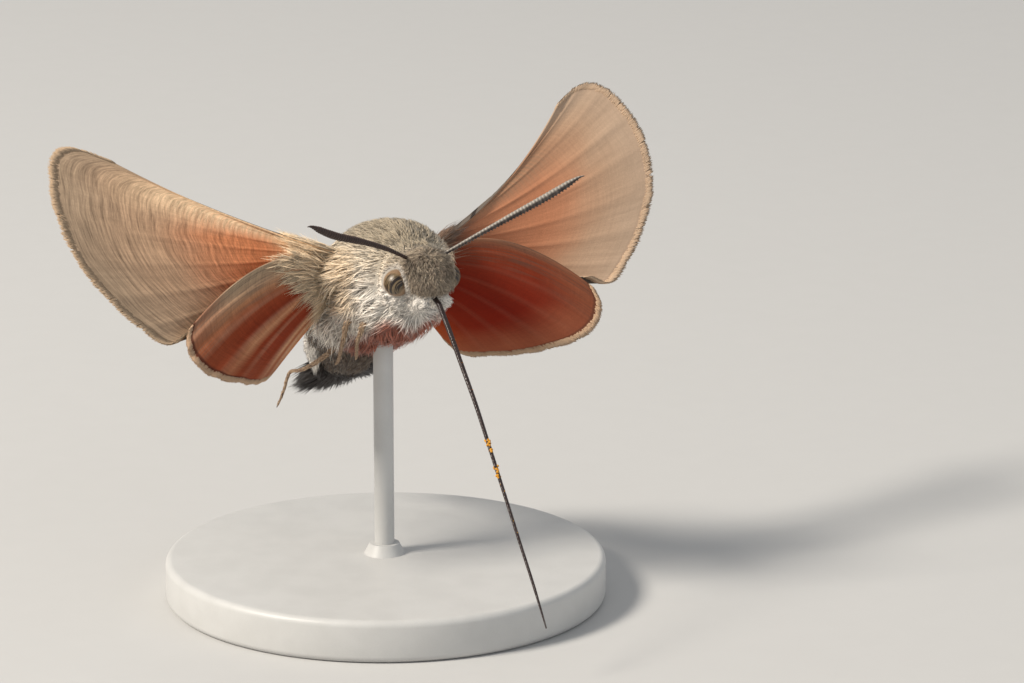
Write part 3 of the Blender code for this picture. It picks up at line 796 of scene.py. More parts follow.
@dataclass(frozen=True)
class TuftStyle:
    """How the tufts of a coat are made.

    Attributes:
        width: width near the root, in millimetres.
        lift: how far a tuft stands out at its root, as a share of its length.
        settle: how much of the lift is lost by the tip.
        thin: thickness over width.
        sway: how much their ways differ.
        lock: tufts to a lock, or 0 for none.
        gather: how far the tips of a lock are drawn together.
        curl: how far a lock bends to one side.
        guards: the share of long guard hairs, each far lighter or darker than the rest.
        pale: how white they are.
        dark: how black they are.
    """

    width: float = 0.08
    lift: float = 0.25
    settle: float = 0.6
    thin: float = 0.4
    sway: float = 0.14
    lock: int = 0
    gather: float = 0.4
    curl: float = 0.25
    guards: float = 0.0
    pale: float = 0.0
    dark: float = 0.0


class TuftSet:
    """Many small solid tufts, made together as arrays and joined in one mesh.

    Attributes:
        ALONG: how far along its tuft each of the seven vertices is.
        PATCH: each vertex's place on the unwrap, from the root's own.
        FACES: the vertices of each triangle.
        GUARD_LENGTH: length of a guard hair over that of the rest.
        GUARD_SHADES: the shades of light and dark guard hairs.
        LIGHT_GUARDS: the share of guard hairs that are light.
    """

    ALONG = np.array([0, 0, 0.1, 0.55, 0.55, 0.6, 1.0])
    PATCH = np.array([(-1, -1), (1, -1), (0, -1), (-0.8, 0), (0.8, 0), (0, 0), (0, 1)]) * 0.0015
    FACES = np.array([
        (0, 2, 1), (0, 1, 4), (0, 4, 3), (1, 2, 5), (1, 5, 4), (2, 0, 3), (2, 3, 5),
        (3, 4, 6), (4, 5, 6), (5, 3, 6),
    ])
    GUARD_LENGTH = 1.7
    GUARD_SHADES = (1.05, 0.12)
    LIGHT_GUARDS = 0.6

    def __init__(self, seed: int) -> None:
        """Starts with no tufts and its own seeded draw."""
        self.draw = np.random.default_rng(seed)
        self.parts: list[dict[str, np.ndarray]] = []

    def _locks(self, places: np.ndarray, per_lock: int) -> tuple[np.ndarray, np.ndarray, np.ndarray]:
        """Sorts the tufts into locks.

        Args:
            places: the tufts' roots.
            per_lock: tufts to a lock.

        Returns:
            Each tuft's way to the middle of its lock, how far out in it the tuft is, and the lock's number.
        """
        middles = places[self.draw.choice(len(places), max(2, len(places) // per_lock), replace=False)]
        tree = KDTree(len(middles))
        for index, middle in enumerate(middles):
            tree.insert(middle, index)
        tree.balance()
        near = [tree.find_n(place, 2) for place in places]
        number = np.array([found[0][1] for found in near])
        spread = np.array([found[0][2] / (found[1][2] + 1e-6) for found in near])
        return middles[number] - places, spread, number

    def add(self, roots: Roots, length: np.ndarray, style: TuftStyle) -> None:
        """Adds tufts.

        Args:
            roots: where and which way they grow.
            length: length of each.
            style: how they are made.
        """
        count = len(roots.places)
        if not count:
            return
        roots = roots.straightened()
        places, normals = roots.places, roots.normals
        shade = self.draw.uniform(0, 1, count)
        pull = np.zeros((count, 3))
        turn = self.draw.normal(0, style.sway, (count, 1))
        if style.lock:
            pull, spread, number = self._locks(places, style.lock)
            tone = self.draw.uniform(0, 1, number.max() + 1)[number]
            # A tuft far out in its lock is darker: painted shade between locks, with random tone as well.
            shade = shade * 0.35 + tone * 0.3 + (1 - spread) * 0.5
            turn = turn + self.draw.normal(0, style.curl, (number.max() + 1, 1))[number]
        guard = self.draw.random(count) < style.guards
        light = self.draw.random(count) < self.LIGHT_GUARDS
        shade = np.where(guard, np.where(light, *self.GUARD_SHADES), shade)
        length = length * np.where(guard, self.GUARD_LENGTH, 1.0)
        across = np.cross(normals, roots.lies)
        lies = unit_rows(roots.lies + across * turn)
        across = np.cross(normals, lies)
        length = length[:, None] * self.draw.uniform(0.75, 1.15, (count, 1))
        stand = style.lift * self.draw.uniform(0.6, 1.4, (count, 1)) * (1 + 0.25 * guard[:, None])
        first = unit_rows(lies + normals * stand)
        bend = across * self.draw.normal(0, 0.12, (count, 1))
        second = unit_rows(lies + normals * stand * (1 - 2 * style.settle) + bend)
        middle = places + first * length * 0.5 + pull * style.gather * 0.35
        tip = middle + second * length * 0.5 + pull * style.gather * 0.65
        wide = style.width * self.draw.uniform(0.7, 1.3, (count, 1)) / 2
        up = normals * wide * 2 * style.thin
        corners = [
            places - across * wide, places + across * wide, places + up,
            middle - across * wide * 0.85, middle + across * wide * 0.85, middle + up * 0.8, tip,
        ]
        self.parts.append({
            "co": np.stack(corners, 1),
            "tuft_shade": np.repeat(shade[:, None], 7, 1),
            "tuft_along": np.tile(self.ALONG, (count, 1)),
            "tuft_pale": np.full((count, 7), style.pale),
            "tuft_dark": np.full((count, 7), style.dark),
            "uv": roots.uv[:, None, :] + self.PATCH[None],
        })

    def mesh(self, name: str) -> bpy.types.Mesh:
        """All the tufts as one mesh with its maps and attributes."""
        data = {key: np.concatenate([part[key] for part in self.parts]) for key in self.parts[0]}
        count = len(data["co"])
        points = data.pop("co").reshape(-1, 3) * MM + np.array(HINGE_MID)
        spread = data.pop("uv").reshape(-1, 2)
        index = (self.FACES[None] + (np.arange(count) * 7)[:, None, None]).reshape(-1, 3)
        mesh = bpy.data.meshes.new(name)
        mesh.vertices.add(len(points))
        mesh.vertices.foreach_set("co", points.astype(np.float32).ravel())
        mesh.loops.add(index.size)
        mesh.loops.foreach_set("vertex_index", index.astype(np.int32).ravel())
        mesh.polygons.add(len(index))
        mesh.polygons.foreach_set("loop_start", np.arange(0, index.size, 3, dtype=np.int32))
        mesh.update(calc_edges=True)
        for label, values in data.items():
            layer = mesh.attributes.new(label, "FLOAT", "POINT")
            layer.data.foreach_set("value", values.astype(np.float32).ravel())
        layer = mesh.uv_layers.new(name="OFBake")
        layer.uv.foreach_set("vector", spread[index.ravel()].astype(np.float32).ravel())
        mesh.shade_smooth()
        return mesh


# The body


@dataclass(frozen=True)
class Egg:
    """One rounded form of the body: its middle, its radii and the depth of the coat over it."""

    middle: Point
    radii: Point
    coat: float

    def add(self, bm: bmesh.types.BMesh, side: Side = Side.LEFT) -> None:
        """Adds the form without its coat, on the given side."""
        middle = mirrored(self.middle, side)
        made = bmesh.ops.create_uvsphere(bm, u_segments=36, v_segments=24, radius=1.0)["verts"]
        for vert in made:
            unit = vert.co.copy()
            vert.co = at([middle[i] + unit[i] * (self.radii[i] - self.coat) for i in range(3)])


@dataclass
class CoatRegion:
    """A part of the coat that is one piece on each side.

    Attributes:
        name: start of the piece's name.
        tufts: how many it has on each side.
        slot: a material slot's name; not used.
        style: how they are made.
    """

    name: str
    tufts: int
    slot: str
    style: TuftStyle


@dataclass
class Body:
    """The head, palps, thorax and abdomen under one skin, with their coat.

    Attributes:
        forms: the rounded forms of the thorax and head.
        palps: those of the left palp, which are mirrored.
        spine: the middle line of the abdomen.
        spine_radii: the abdomen's radii along it, coat and all.
        flatness: the abdomen's height over its width.
        segments: the abdomen's rings.
        spine_steps: sections of the abdomen.
        voxel: the skin's grain.
        coat_depth: depth of the coat over the abdomen.
        eye_room: how near an eye's middle no tuft grows.
        sink: how deep the tufts are rooted in the skin.
        smoothings: how often the skin is smoothed.
        regions: the pieces of the coat.
    """

    forms: tuple[Egg, ...] = (
        Egg((0.0, 0.4, -1.3), (4.3, 3.6, 3.0), 0.22),
        Egg((0.0, 0.2, -2.5), (3.9, 4.4, 4.3), 0.26),
        Egg((0.0, 2.9, -4.7), (3.7, 3.4, 3.4), 0.26),
        Egg((0.0, -4.75, -1.15), (2.34, 2.32, 1.95), 0.28),
        Egg((0.0, -6.0, -1.45), (1.75, 1.25, 1.1), 0.24),
        Egg((0.0, -3.4, -1.7), (2.9, 1.8, 2.5), 0.3),
    )
    palps: tuple[Egg, ...] = (
        Egg((0.88, -5.2, -2.95), (0.68, 0.95, 0.6), 0.18),
        Egg((0.82, -5.95, -2.74), (0.64, 0.9, 0.62), 0.18),
    )
    spine: tuple[Point, ...] = (
        (0.0, 2.4, -3.4), (0.1, 4.4, -5.0), (0.5, 6.9, -7.2), (1.1, 8.9, -9.2), (1.5, 10.2, -10.7))
    spine_radii: tuple[float, ...] = (3.0, 3.3, 3.2, 2.7, 1.85)
    flatness: float = 0.86
    segments: int = 7
    spine_steps: int = 40
    voxel: float = 0.13
    coat_depth: float = 0.34
    eye_room: float = 1.12
    sink: float = 0.06
    smoothings: int = 9
    regions: tuple[CoatRegion, ...] = (
        CoatRegion("crown_coat", 7000, "fur_grey", TuftStyle(
            width=0.07, lift=0.6, settle=0.4, sway=0.3,
            lock=20, gather=0.4, curl=0.6, guards=0.3)),
        CoatRegion("face_coat", 6000, "fur_white", TuftStyle(
            width=0.07, lift=0.42, settle=0.45, sway=0.25,
            lock=18, gather=0.5, curl=0.4, guards=0.2)),
        CoatRegion("back_coat", 10500, "fur_grey", TuftStyle(
            width=0.08, lift=0.24, settle=0.6, sway=0.13,
            lock=12, gather=0.4, curl=0.16, guards=0.3)),
        CoatRegion("flank_coat", 14500, "fur_white", TuftStyle(
            width=0.085, lift=0.26, settle=0.6, sway=0.1,
            lock=50, gather=0.65, curl=0.3, guards=0.22)),
        CoatRegion("abdomen_coat", 9000, "fur_dark", TuftStyle(
            width=0.11, lift=0.24, settle=0.6, sway=0.14,
            lock=26, gather=0.5, curl=0.2, guards=0.15)),
    )

    def build(self) -> None:
        """Makes the skin and every piece of the coat."""
        mesh = self._skin_mesh()
        nodes = ["head", "thorax", "abdomen", "palp_left", "palp_right"]
        add_piece("body_skin", mesh, SkinFinish().material(), nodes)
        self._coat(mesh)

    def _skin_mesh(self) -> bpy.types.Mesh:
        """One closed skin, fused from the forms of the body and smoothed."""
        bm = bmesh.new()
        for form in self.forms:
            form.add(bm)
        for side in Side:
            for palp in self.palps:
                palp.add(bm, side)
        path = spline(self.spine, self.spine_steps)
        radii = []
        for index in range(self.spine_steps):
            share = index / (self.spine_steps - 1)
            swell = 1 + 0.06 * ((share * self.segments) % 1.0 - 0.5)
            radii.append((between(self.spine_radii, share) - self.coat_depth) * swell)
        path.append(path[-1] + (path[-1] - path[-2]).normalized() * 0.6)
        radii.append(radii[-1] * 0.6)
        sweep(bm, path, radii, 40, self.flatness)
        bmesh.ops.recalc_face_normals(bm, faces=bm.faces)
        raw = bpy.data.objects.new("skin_forms", mesh_from(bm, "skin_forms"))
        bpy.context.scene.collection.objects.link(raw)
        remesh = raw.modifiers.new("one_skin", "REMESH")
        remesh.mode = "VOXEL"
        remesh.voxel_size = self.voxel * MM
        bpy.context.view_layer.update()
        shown = raw.evaluated_get(bpy.context.evaluated_depsgraph_get())
        mesh = bpy.data.meshes.new_from_object(shown)
        bpy.data.objects.remove(raw, do_unlink=True)
        bm = bmesh.new()
        bm.from_mesh(mesh)
        for _ in range(self.smoothings):
            bmesh.ops.smooth_vert(
                bm, verts=bm.verts, factor=0.5, use_axis_x=True, use_axis_y=True, use_axis_z=True)
        bpy.data.meshes.remove(mesh)
        return mesh_from(bm, "body_skin")

    @staticmethod
    def unwrap(points: np.ndarray) -> np.ndarray:
        """The skin's own unwrap: the turn round the body's length, and the place along it."""
        bend = np.maximum(points[:, 1] - 2.5, 0)
        axis_z = -2.2 - bend * 1.02
        axis_x = np.clip(bend * 0.18, 0, 1.6)
        turn = np.arctan2(points[:, 0] - axis_x, points[:, 2] - axis_z) / (2 * math.pi) + 0.5
        along = np.where(points[:, 1] < 2.5, points[:, 1], 2.5 + bend * 1.4)
        return np.stack([turn * 0.96 + 0.02, np.clip((along + 8.5) / 30.0, 0.02, 0.98)], 1)

    @staticmethod
    def lie(points: np.ndarray) -> np.ndarray:
        """The way the coat lies: down over the face, back from the crown, out over the wing roots."""
        x, y, z = points.T
        side = np.sign(x)
        abdomen = rise(y - z * 0.5, 5.6, 7.6)
        head = 1 - rise(y, -4.2, -3.4)
        face = head * rise(-y, 5.0, 5.9)
        flank = rise(np.abs(x), 2.0, 3.6) * (1 - rise(z, -0.6, 1.0)) * (1 - head) * (1 - abdomen)
        root = rise(np.abs(x), 2.9, 3.9) * rise(z, -4.5, -2.6) * (1 - head)
        breast = (1 - rise(z, -4.0, -2.4)) * (1 - head)
        lies = np.stack([side * 0.15 + side * flank * 0.25, np.ones(len(points)), -0.2 - abdomen * 0.75], 1)
        lies[:, 0] += side * root * 1.6
        lies[:, 2] -= flank * 0.4 + breast * 0.25
        lies[:, 0] += side * face * 0.45
        lies[:, 1] -= face * 1.5
        lies[:, 2] -= face * 1.0
        return lies

    @staticmethod
    def swirl(points: np.ndarray, normals: np.ndarray, lies: np.ndarray) -> np.ndarray:
        """Turns the lies to and fro in slow waves, most on the breast and the flanks."""
        x, y, z = points.T
        wave = np.sin(x * 1.7 + y * 1.1 + 0.4) * np.cos(z * 1.5 - y * 0.6) + np.sin(z * 2.6 + y * 1.9) * 0.5
        strength = 0.16 + 0.34 * (1 - rise(z, -2.4, 0.2)) + 0.25 * (1 - rise(y, -4.6, -3.4))
        across = np.cross(normals, unit_rows(lies))
        return unit_rows(lies) + across * (wave * strength)[:, None]

    @staticmethod
    def region_of(points: np.ndarray) -> np.ndarray:
        """The number of the coat region that each point is in."""
        crown, face, back, flank, abdomen = range(5)
        neck, back_edge, waist, brow, cheek = -3.3, -0.9, 6.4, -5.7, -2.5
        x, y, z = points.T
        head = y + np.abs(x) * 0.12 < neck
        number = np.where(z > back_edge + 0.1 * y, back, flank)
        number = np.where(y - z * 0.5 > waist, abdomen, number)
        number = np.where(head, crown, number)
        return np.where(head & ((y < brow) | (z < cheek)), face, number)

    @staticmethod
    def lengths(points: np.ndarray) -> np.ndarray:
        """The coat's length at each place: least on the face, most on the flanks."""
        on_back, on_head, least_at_eye = 0.78, 0.52, 0.35
        more_on_flank, more_on_breast, more_at_wing = 0.6, 0.4, 0.7
        x, y, z = points.T
        flank = rise(np.abs(x), 1.6, 3.4) * (1 - rise(z, -1.4, 0.4))
        breast = (1 - rise(z, -4.5, -2.5)) * (1 - rise(y, 5.0, 7.0))
        wing = rise(np.abs(x), 2.9, 3.7) * rise(z, -6.0, -4.0) * (1 - rise(z, -1.0, 0.6))
        length = on_back + more_on_flank * flank + more_on_breast * breast + more_at_wing * wing
        head = 1 - rise(y, -4.6, -3.0)
        length = length * (1 - head) + on_head * head
        length = length * (1 - 0.3 * rise(-y, 5.4, 6.4)) * (1 - 0.3 * head * rise(-z, 2.3, 2.7))
        return length * (least_at_eye + (1 - least_at_eye) * rise(Body.from_eye(points), 1.1, 2.0))

    def _coat(self, mesh: bpy.types.Mesh) -> None:
        """Scatters the tufts over the skin and joins them by region and side."""
        mesh.calc_loop_triangles()
        count = len(mesh.loop_triangles)
        corners = np.empty(count * 3, np.int32)
        mesh.loop_triangles.foreach_get("vertices", corners)
        points = np.empty(len(mesh.vertices) * 3, np.float32)
        mesh.vertices.foreach_get("co", points)
        out = np.empty(len(mesh.vertices) * 3, np.float32)
        mesh.vertices.foreach_get("normal", out)
        places = (points.reshape(-1, 3) - np.array(HINGE_MID)) / MM
        corners, out = corners.reshape(-1, 3), out.reshape(-1, 3)
        a, b, c = (places[corners[:, i]] for i in range(3))
        area = np.linalg.norm(np.cross(b - a, c - a), axis=1) / 2
        middle = (a + b + c) / 3
        number = self.region_of(middle)
        material = CoatFinish().material()
        for order, region in enumerate(self.regions):
            for side in Side:
                seed = SEED + order * 10 + side.sign
                draw = np.random.default_rng(seed)
                weight = np.where((number == order) & (middle[:, 0] * side.sign >= 0), area, 0)
                chosen = draw.choice(count, region.tufts, p=weight / weight.sum())
                u, v = draw.random((2, len(chosen), 1))
                u, v = np.where(u + v > 1, 1 - u, u), np.where(u + v > 1, 1 - v, v)
                i, j, k = (corners[chosen, n] for n in range(3))
                spots = places[i] * (1 - u - v) + places[j] * u + places[k] * v
                normals = unit_rows(out[i] * (1 - u - v) + out[j] * u + out[k] * v)
                lies = self.swirl(spots, normals, self.lie(spots))
                roots = Roots(spots - normals * self.sink, normals, lies, self.unwrap(spots))
                roots = roots.kept(self.from_eye(spots) > self.eye_room)
                tufts = TuftSet(seed + 5)
                tufts.add(roots, self.lengths(roots.places), region.style)
                add_piece(f"{region.name}_{side.word}", tufts.mesh(region.name), material, [])

    @staticmethod
    def from_eye(points: np.ndarray) -> np.ndarray:
        """How far each point is from the middle of the nearer eye."""
        away = np.stack([np.abs(points[:, 0]), points[:, 1], points[:, 2]], 1) - np.array(EYE_MIDDLE)
        return np.linalg.norm(away, axis=1)


# The wings


@dataclass
class Wing:
    """One wing: a thin membrane on its main veins, with a fringe along its margin.

    Attributes:
        side: the side it is on.
        name: forewing or hindwing.
        slot: a material slot's name; not used.
        finish: its scales.
        rows: faces from root to margin.
        across: faces between two veins.
        membrane: thickness between the veins.
        vein: thickness at a vein's root.
        edge: thickness at the margin.
        fringe: length of the fringe's scales.
        fringe_scales: how many of them to a face of the margin.
        ripple: depth of the pleats.
        pleat_way: which way the pleats rise on the left wing.
        usual_length: length of a vein, from which the fringe's share of it is worked out.
        ridge: half the width of a vein's ridge, as a share of the gap between veins.
        ridge_round: below 1 the ridge is rounder.
        taper: how much of its height a vein loses by the margin.
        thin_margin: the share of the wing's length over which it thins to the margin.
        thin_sides: the same across the veins, in gaps between veins.
        slow_pleat: strength, waves to two gaps and start of the slower pleats.
        flattened: how much of the pleats is lost by the margin.
        inward: how far inside the margin the fringe is rooted, at least and at most.
        veins: root, belly and tip of each vein, once they are known.
    """

    side: Side
    name: str
    slot: str
    finish: ScaledWing
    rows: int = 80
    across: int = 14
    membrane: float = 0.14
    vein: float = 0.26
    edge: float = 0.07
    fringe: float = 0.5
    fringe_scales: int = 18
    ripple: float = 0.03
    pleat_way: Point = (0.1, -0.8, 0.5)
    usual_length: float = 18.0
    ridge: float = 0.13
    ridge_round: float = 0.7
    taper: float = 0.55
    thin_margin: float = 0.08
    thin_sides: float = 0.12
    slow_pleat: Point = (0.35, 3.3, 1.0)
    flattened: float = 0.3
    inward: tuple[float, float] = (0.05, 0.35)
    veins: list[tuple[Vector, Vector, Vector]] = field(default_factory=list, repr=False)

    @property
    def node(self) -> str:
        """The wing's node in the frame."""
        return f"{self.name}_{self.side.word}"

    def rays(self) -> list[tuple[Vector, Vector, Vector]]:
        """Root, belly and tip of each vein of the left wing."""
        raise NotImplementedError

    def point(self, out: float, place: float) -> Vector:
        """The middle of the wing's thickness, from 0 at the root to 1 at the margin, at a vein number."""
        points = [root.lerp(tip, out) + belly * 4 * out * (1 - out) for root, belly, tip in self.veins]
        return mirrored(spline_point(points, place), self.side)

    def build(self) -> None:
        """Makes the membrane and the fringe."""
        self.veins = self.rays()
        columns = (len(self.veins) - 1) * self.across
        grid = np.empty((self.rows + 1, columns + 1, 3))
        reach = 1.0 - self.fringe * 0.6 / self.usual_length
        for row in range(self.rows + 1):
            for column in range(columns + 1):
                grid[row, column] = self.point(row / self.rows * reach, column / self.across)
        grid += self._ripple(columns)
        normal = np.cross(np.gradient(grid, axis=0), np.gradient(grid, axis=1))
        normal /= np.linalg.norm(normal, axis=2, keepdims=True)
        if normal[self.rows // 2, columns // 2, 1] > 0:
            normal = -normal
        mesh = self._membrane_mesh(grid, normal, self._thickness(columns))
        add_piece(f"{self.node}_membrane", mesh, self.finish.material(), [self.node])
        self._fringe(grid, normal, columns)

    def _membrane_mesh(self, grid: np.ndarray, normal: np.ndarray, thick: np.ndarray) -> bpy.types.Mesh:
        """Two faces on the grid, joined round their edges.

        Args:
            grid: the middle of the thickness at each row and column.
            normal: the way out of the lower face there.
            thick: the thickness there.

        Returns:
            The closed mesh, with its map of rows and columns.
        """
        rows, columns = grid.shape[0] - 1, grid.shape[1] - 1
        bm = bmesh.new()
        upper = bm.faces.layers.float.new("upper_face")
        layer = bm.loops.layers.uv.new("WingMap")
        border = []
        for sign in (1, -1):
            made = bmesh.ops.create_grid(bm, x_segments=rows, y_segments=columns, size=0.5)["verts"]
            slots = {}
            for vert in made:
                row = round((vert.co.x + 0.5) * rows)
                column = round((vert.co.y + 0.5) * columns)
                slots[vert] = (row, column)
                vert.co = at(grid[row, column] + normal[row, column] * thick[row, column] / 2 * sign)
            faces = {face for vert in made for face in vert.link_faces}
            for face in faces:
                face[upper] = 0.0 if sign > 0 else 1.0
                for loop in face.loops:
                    row, column = slots[loop.vert]
                    loop[layer].uv = (row / rows, column / columns)
            border += list({edge for face in faces for edge in face.edges if len(edge.link_faces) == 1})
        bmesh.ops.bridge_loops(bm, edges=border)
        bmesh.ops.recalc_face_normals(bm, faces=bm.faces)
        return mesh_from(bm, self.name)

    def _ripple(self, columns: int) -> np.ndarray:
        """Shallow pleats between the veins, deepest near the margin."""
        out = np.linspace(0, 1, self.rows + 1)[:, None]
        place = np.arange(columns + 1)[None] / self.across
        strength, waves, start = self.slow_pleat
        wave = np.cos(place * 2 * math.pi) + strength * np.cos(place * waves * math.pi + start)
        wave = wave * self.ripple * out * (1 - out * self.flattened)
        return wave[..., None] * np.array(mirrored(self.pleat_way, self.side))

    def _thickness(self, columns: int) -> np.ndarray:
        """Thickness at each point, with a rounded ridge along each vein and a thin margin."""
        place = np.arange(columns + 1) / self.across
        ridge = np.clip(1 - np.abs(place - np.round(place)) / self.ridge, 0, 1)
        out = np.linspace(0, 1, self.rows + 1)[:, None]
        raised = ridge[None] ** self.ridge_round * (1 - self.taper * out)
        thick = self.membrane + (self.vein - self.membrane) * raised
        fade = np.clip((1 - out) / self.thin_margin, 0, 1)
        side = np.clip(np.minimum(place, place[-1] - place) / self.thin_sides, 0, 1)[None]
        return self.edge + (thick - self.edge) * np.minimum(fade, side)

    def _fringe(self, grid: np.ndarray, normal: np.ndarray, columns: int) -> None:
        """A fringe of fine scales along the outer margin, in two layers with a notch at each vein."""
        draw = np.random.default_rng(SEED + 77)
        count = columns * self.fringe_scales
        place = draw.uniform(0, 1, count) * columns
        low = np.clip(place.astype(int), 0, columns - 1)
        part = (place - low)[:, None]
        edge = grid[-1, low] * (1 - part) + grid[-1, low + 1] * part
        inner = grid[-4, low] * (1 - part) + grid[-4, low + 1] * part
        out = unit_rows(edge - inner)
        notch = 0.8 + 0.2 * np.abs(np.sin(place / self.across * math.pi)) ** 0.6
        uv = np.stack([0.02 + 0.96 * place / columns, np.full(count, 0.5)], 1)
        inward = draw.uniform(*self.inward, count)[:, None]
        side = np.where(draw.random(count) < 0.5, 1.0, -1.0)[:, None]
        flat = normal[-1, low] * side
        tufts = TuftSet(SEED + 78)
        roots = Roots(edge - out * inward + flat * self.edge * 0.4, flat, out, uv)
        style = TuftStyle(width=0.11, lift=0.02, settle=0.9, sway=0.05, lock=14, gather=0.15, curl=0.04)
        tufts.add(roots, self.fringe * notch + inward[:, 0] * 0.6, style)
        finish = ScaleFinish("fringe_scales", self.finish.margin, self.finish.fringe_root)
        add_piece(f"{self.node}_fringe", tufts.mesh("fringe"), finish.material(), [])


def forewing_finish(side: Side) -> ForewingFinish:
    """The finish of a forewing: the right one lit through and streaked, the left one plainer."""
    upper, upper_mark = (0.16, 0.13, 0.105), (0.045, 0.035, 0.03)
    if side is Side.RIGHT:
        return ForewingFinish(
            name="forewing_right_scales", upper=upper, upper_mark=upper_mark, margin=(0.43, 0.31, 0.205),
            line=(0.34, 0.23, 0.15), fringe_root=(0.38, 0.27, 0.175), streaks=1.2, line_strength=0.0,
            edge_from=(0.5, 0.9), root=(0.62, 0.40, 0.23), disc=(0.56, 0.205, 0.09),
            outer=(0.46, 0.29, 0.18), tip=(0.38, 0.27, 0.18), costa=(0.72, 0.51, 0.32),
            rear=(0.42, 0.18, 0.085), disc_reach=(0.36, 0.7))
    return ForewingFinish(
        name="forewing_left_scales", upper=upper, upper_mark=upper_mark, margin=(0.60, 0.43, 0.29),
        line=(0.32, 0.22, 0.16), fringe_root=(0.44, 0.31, 0.21), streaks=0.16, line_strength=0.3,
        edge_from=(0.45, 0.75), root=(0.30, 0.14, 0.085), disc=(0.55, 0.225, 0.115),
        outer=(0.47, 0.285, 0.175), tip=(0.45, 0.32, 0.225), costa=(0.33, 0.19, 0.115),
        rear=(0.50, 0.235, 0.13), disc_reach=(0.5, 0.85))


def hindwing_finish(side: Side) -> HindwingFinish:
    """The finish of a hindwing: the right one pleated and striped, the left one plainer and deepened by
    painted shade.
    """
    upper, upper_mark = (0.52, 0.17, 0.035), (0.12, 0.05, 0.02)
    if side is Side.RIGHT:
        bands = (
            (0.0, (0.36, 0.27, 0.18)), (0.1, (0.40, 0.26, 0.16)), (0.18, (0.42, 0.19, 0.095)),
            (0.25, (0.26, 0.05, 0.018)), (0.36, (0.22, 0.032, 0.011)), (0.41, (0.48, 0.23, 0.12)),
            (0.46, (0.24, 0.038, 0.013)), (0.62, (0.22, 0.032, 0.011)), (0.68, (0.54, 0.30, 0.17)),
            (0.74, (0.32, 0.085, 0.032)), (0.8, (0.55, 0.31, 0.18)), (0.87, (0.50, 0.21, 0.10)),
            (0.93, (0.58, 0.15, 0.035)), (1.0, (0.50, 0.11, 0.025)),
        )
        return HindwingFinish(
            name="hindwing_right_scales", upper=upper, upper_mark=upper_mark, margin=(0.55, 0.37, 0.24),
            line=(0.07, 0.02, 0.012), fringe_root=(0.42, 0.27, 0.17), streaks=0.5, line_strength=0.85,
            edge_from=(-1.0, -0.5), bands_below=bands, root=(0.66, 0.45, 0.28), outer=(0.25, 0.06, 0.025),
            hairs=(0.19, 0.135, 0.095), pleats=0.2)
    # The left hindwing's rust bands, root and hairs are darkened by painted shade.
    bands = (
        (0.0, (0.27, 0.13, 0.075)), (0.08, (0.24, 0.05, 0.02)), (0.25, (0.20, 0.022, 0.008)),
        (0.5, (0.185, 0.012, 0.004)), (0.75, (0.22, 0.018, 0.005)), (0.88, (0.34, 0.055, 0.014)),
        (1.0, (0.44, 0.09, 0.02)),
    )
    return HindwingFinish(
        name="hindwing_left_scales", upper=upper, upper_mark=upper_mark, margin=(0.50, 0.35, 0.235),
        line=(0.12, 0.05, 0.03), fringe_root=(0.44, 0.29, 0.18), streaks=0.2, line_strength=0.6,
        edge_from=(-1.0, -0.5), bands_below=bands, root=(0.20, 0.06, 0.03), outer=(0.34, 0.12, 0.06),
        hairs=(0.13, 0.065, 0.045), pleats=0.04)


@dataclass
class Forewing(Wing):
    """A forewing, in its own plane and bent out of it."""

    span_axis: Point = (0.842, 0.445, 0.309)
    face_axis: Point = (0.196, -0.781, 0.592)
    hinge: Point = (3.9, 0.0, 0.0)
    front: Point = (3.0, -0.2, -0.5)
    rear: Point = (2.4, 3.0, -0.5)
    front_sags: tuple[Point, Point] = ((0.4, 0.0, -1.2), (0.1, 0.0, -0.5))
    rear_sag: Point = (0.0, 0.7, -0.9)
    tilts: tuple[float, float] = (1.5, -2.0)
    margin: tuple[tuple[float, float], ...] = (
        (16.9, -1.3), (19.6, -1.2), (20.7, 0.1), (20.3, 2.6), (19.2, 5.0),
        (17.2, 7.5), (14.4, 9.3), (11.7, 10.3), (9.7, 10.6), (8.6, 9.3),
    )
    bend: Point = (2.0, 3.6, -1.6)
    length: float = 21.0
    chord: float = 10.0

    def rays(self) -> list[tuple[Vector, Vector, Vector]]:
        """Root, belly and tip of each vein of the left forewing, as its own side has them."""
        own = 0 if self.side is Side.LEFT else 1
        turn = Matrix.Rotation(math.radians(self.tilts[own]), 3, "X")
        span = Vector(self.span_axis).normalized()
        chord = span.cross(Vector(self.face_axis)).normalized()
        face = chord.cross(span)
        front_sag, rear_sag = Vector(self.front_sags[own]), Vector(self.rear_sag)
        rays = []
        for index, (along, across) in enumerate(self.margin):
            share = index / (len(self.margin) - 1)
            s, t = along / self.length, across / self.chord
            lift = self.bend[0] * s * s + self.bend[1] * s * t + self.bend[2] * t * t
            tip = Vector(self.hinge) + turn @ (span * along + chord * across + face * lift)
            root = Vector(self.front).lerp(Vector(self.rear), share)
            rays.append((root, front_sag.lerp(rear_sag, share), tip))
        return rays


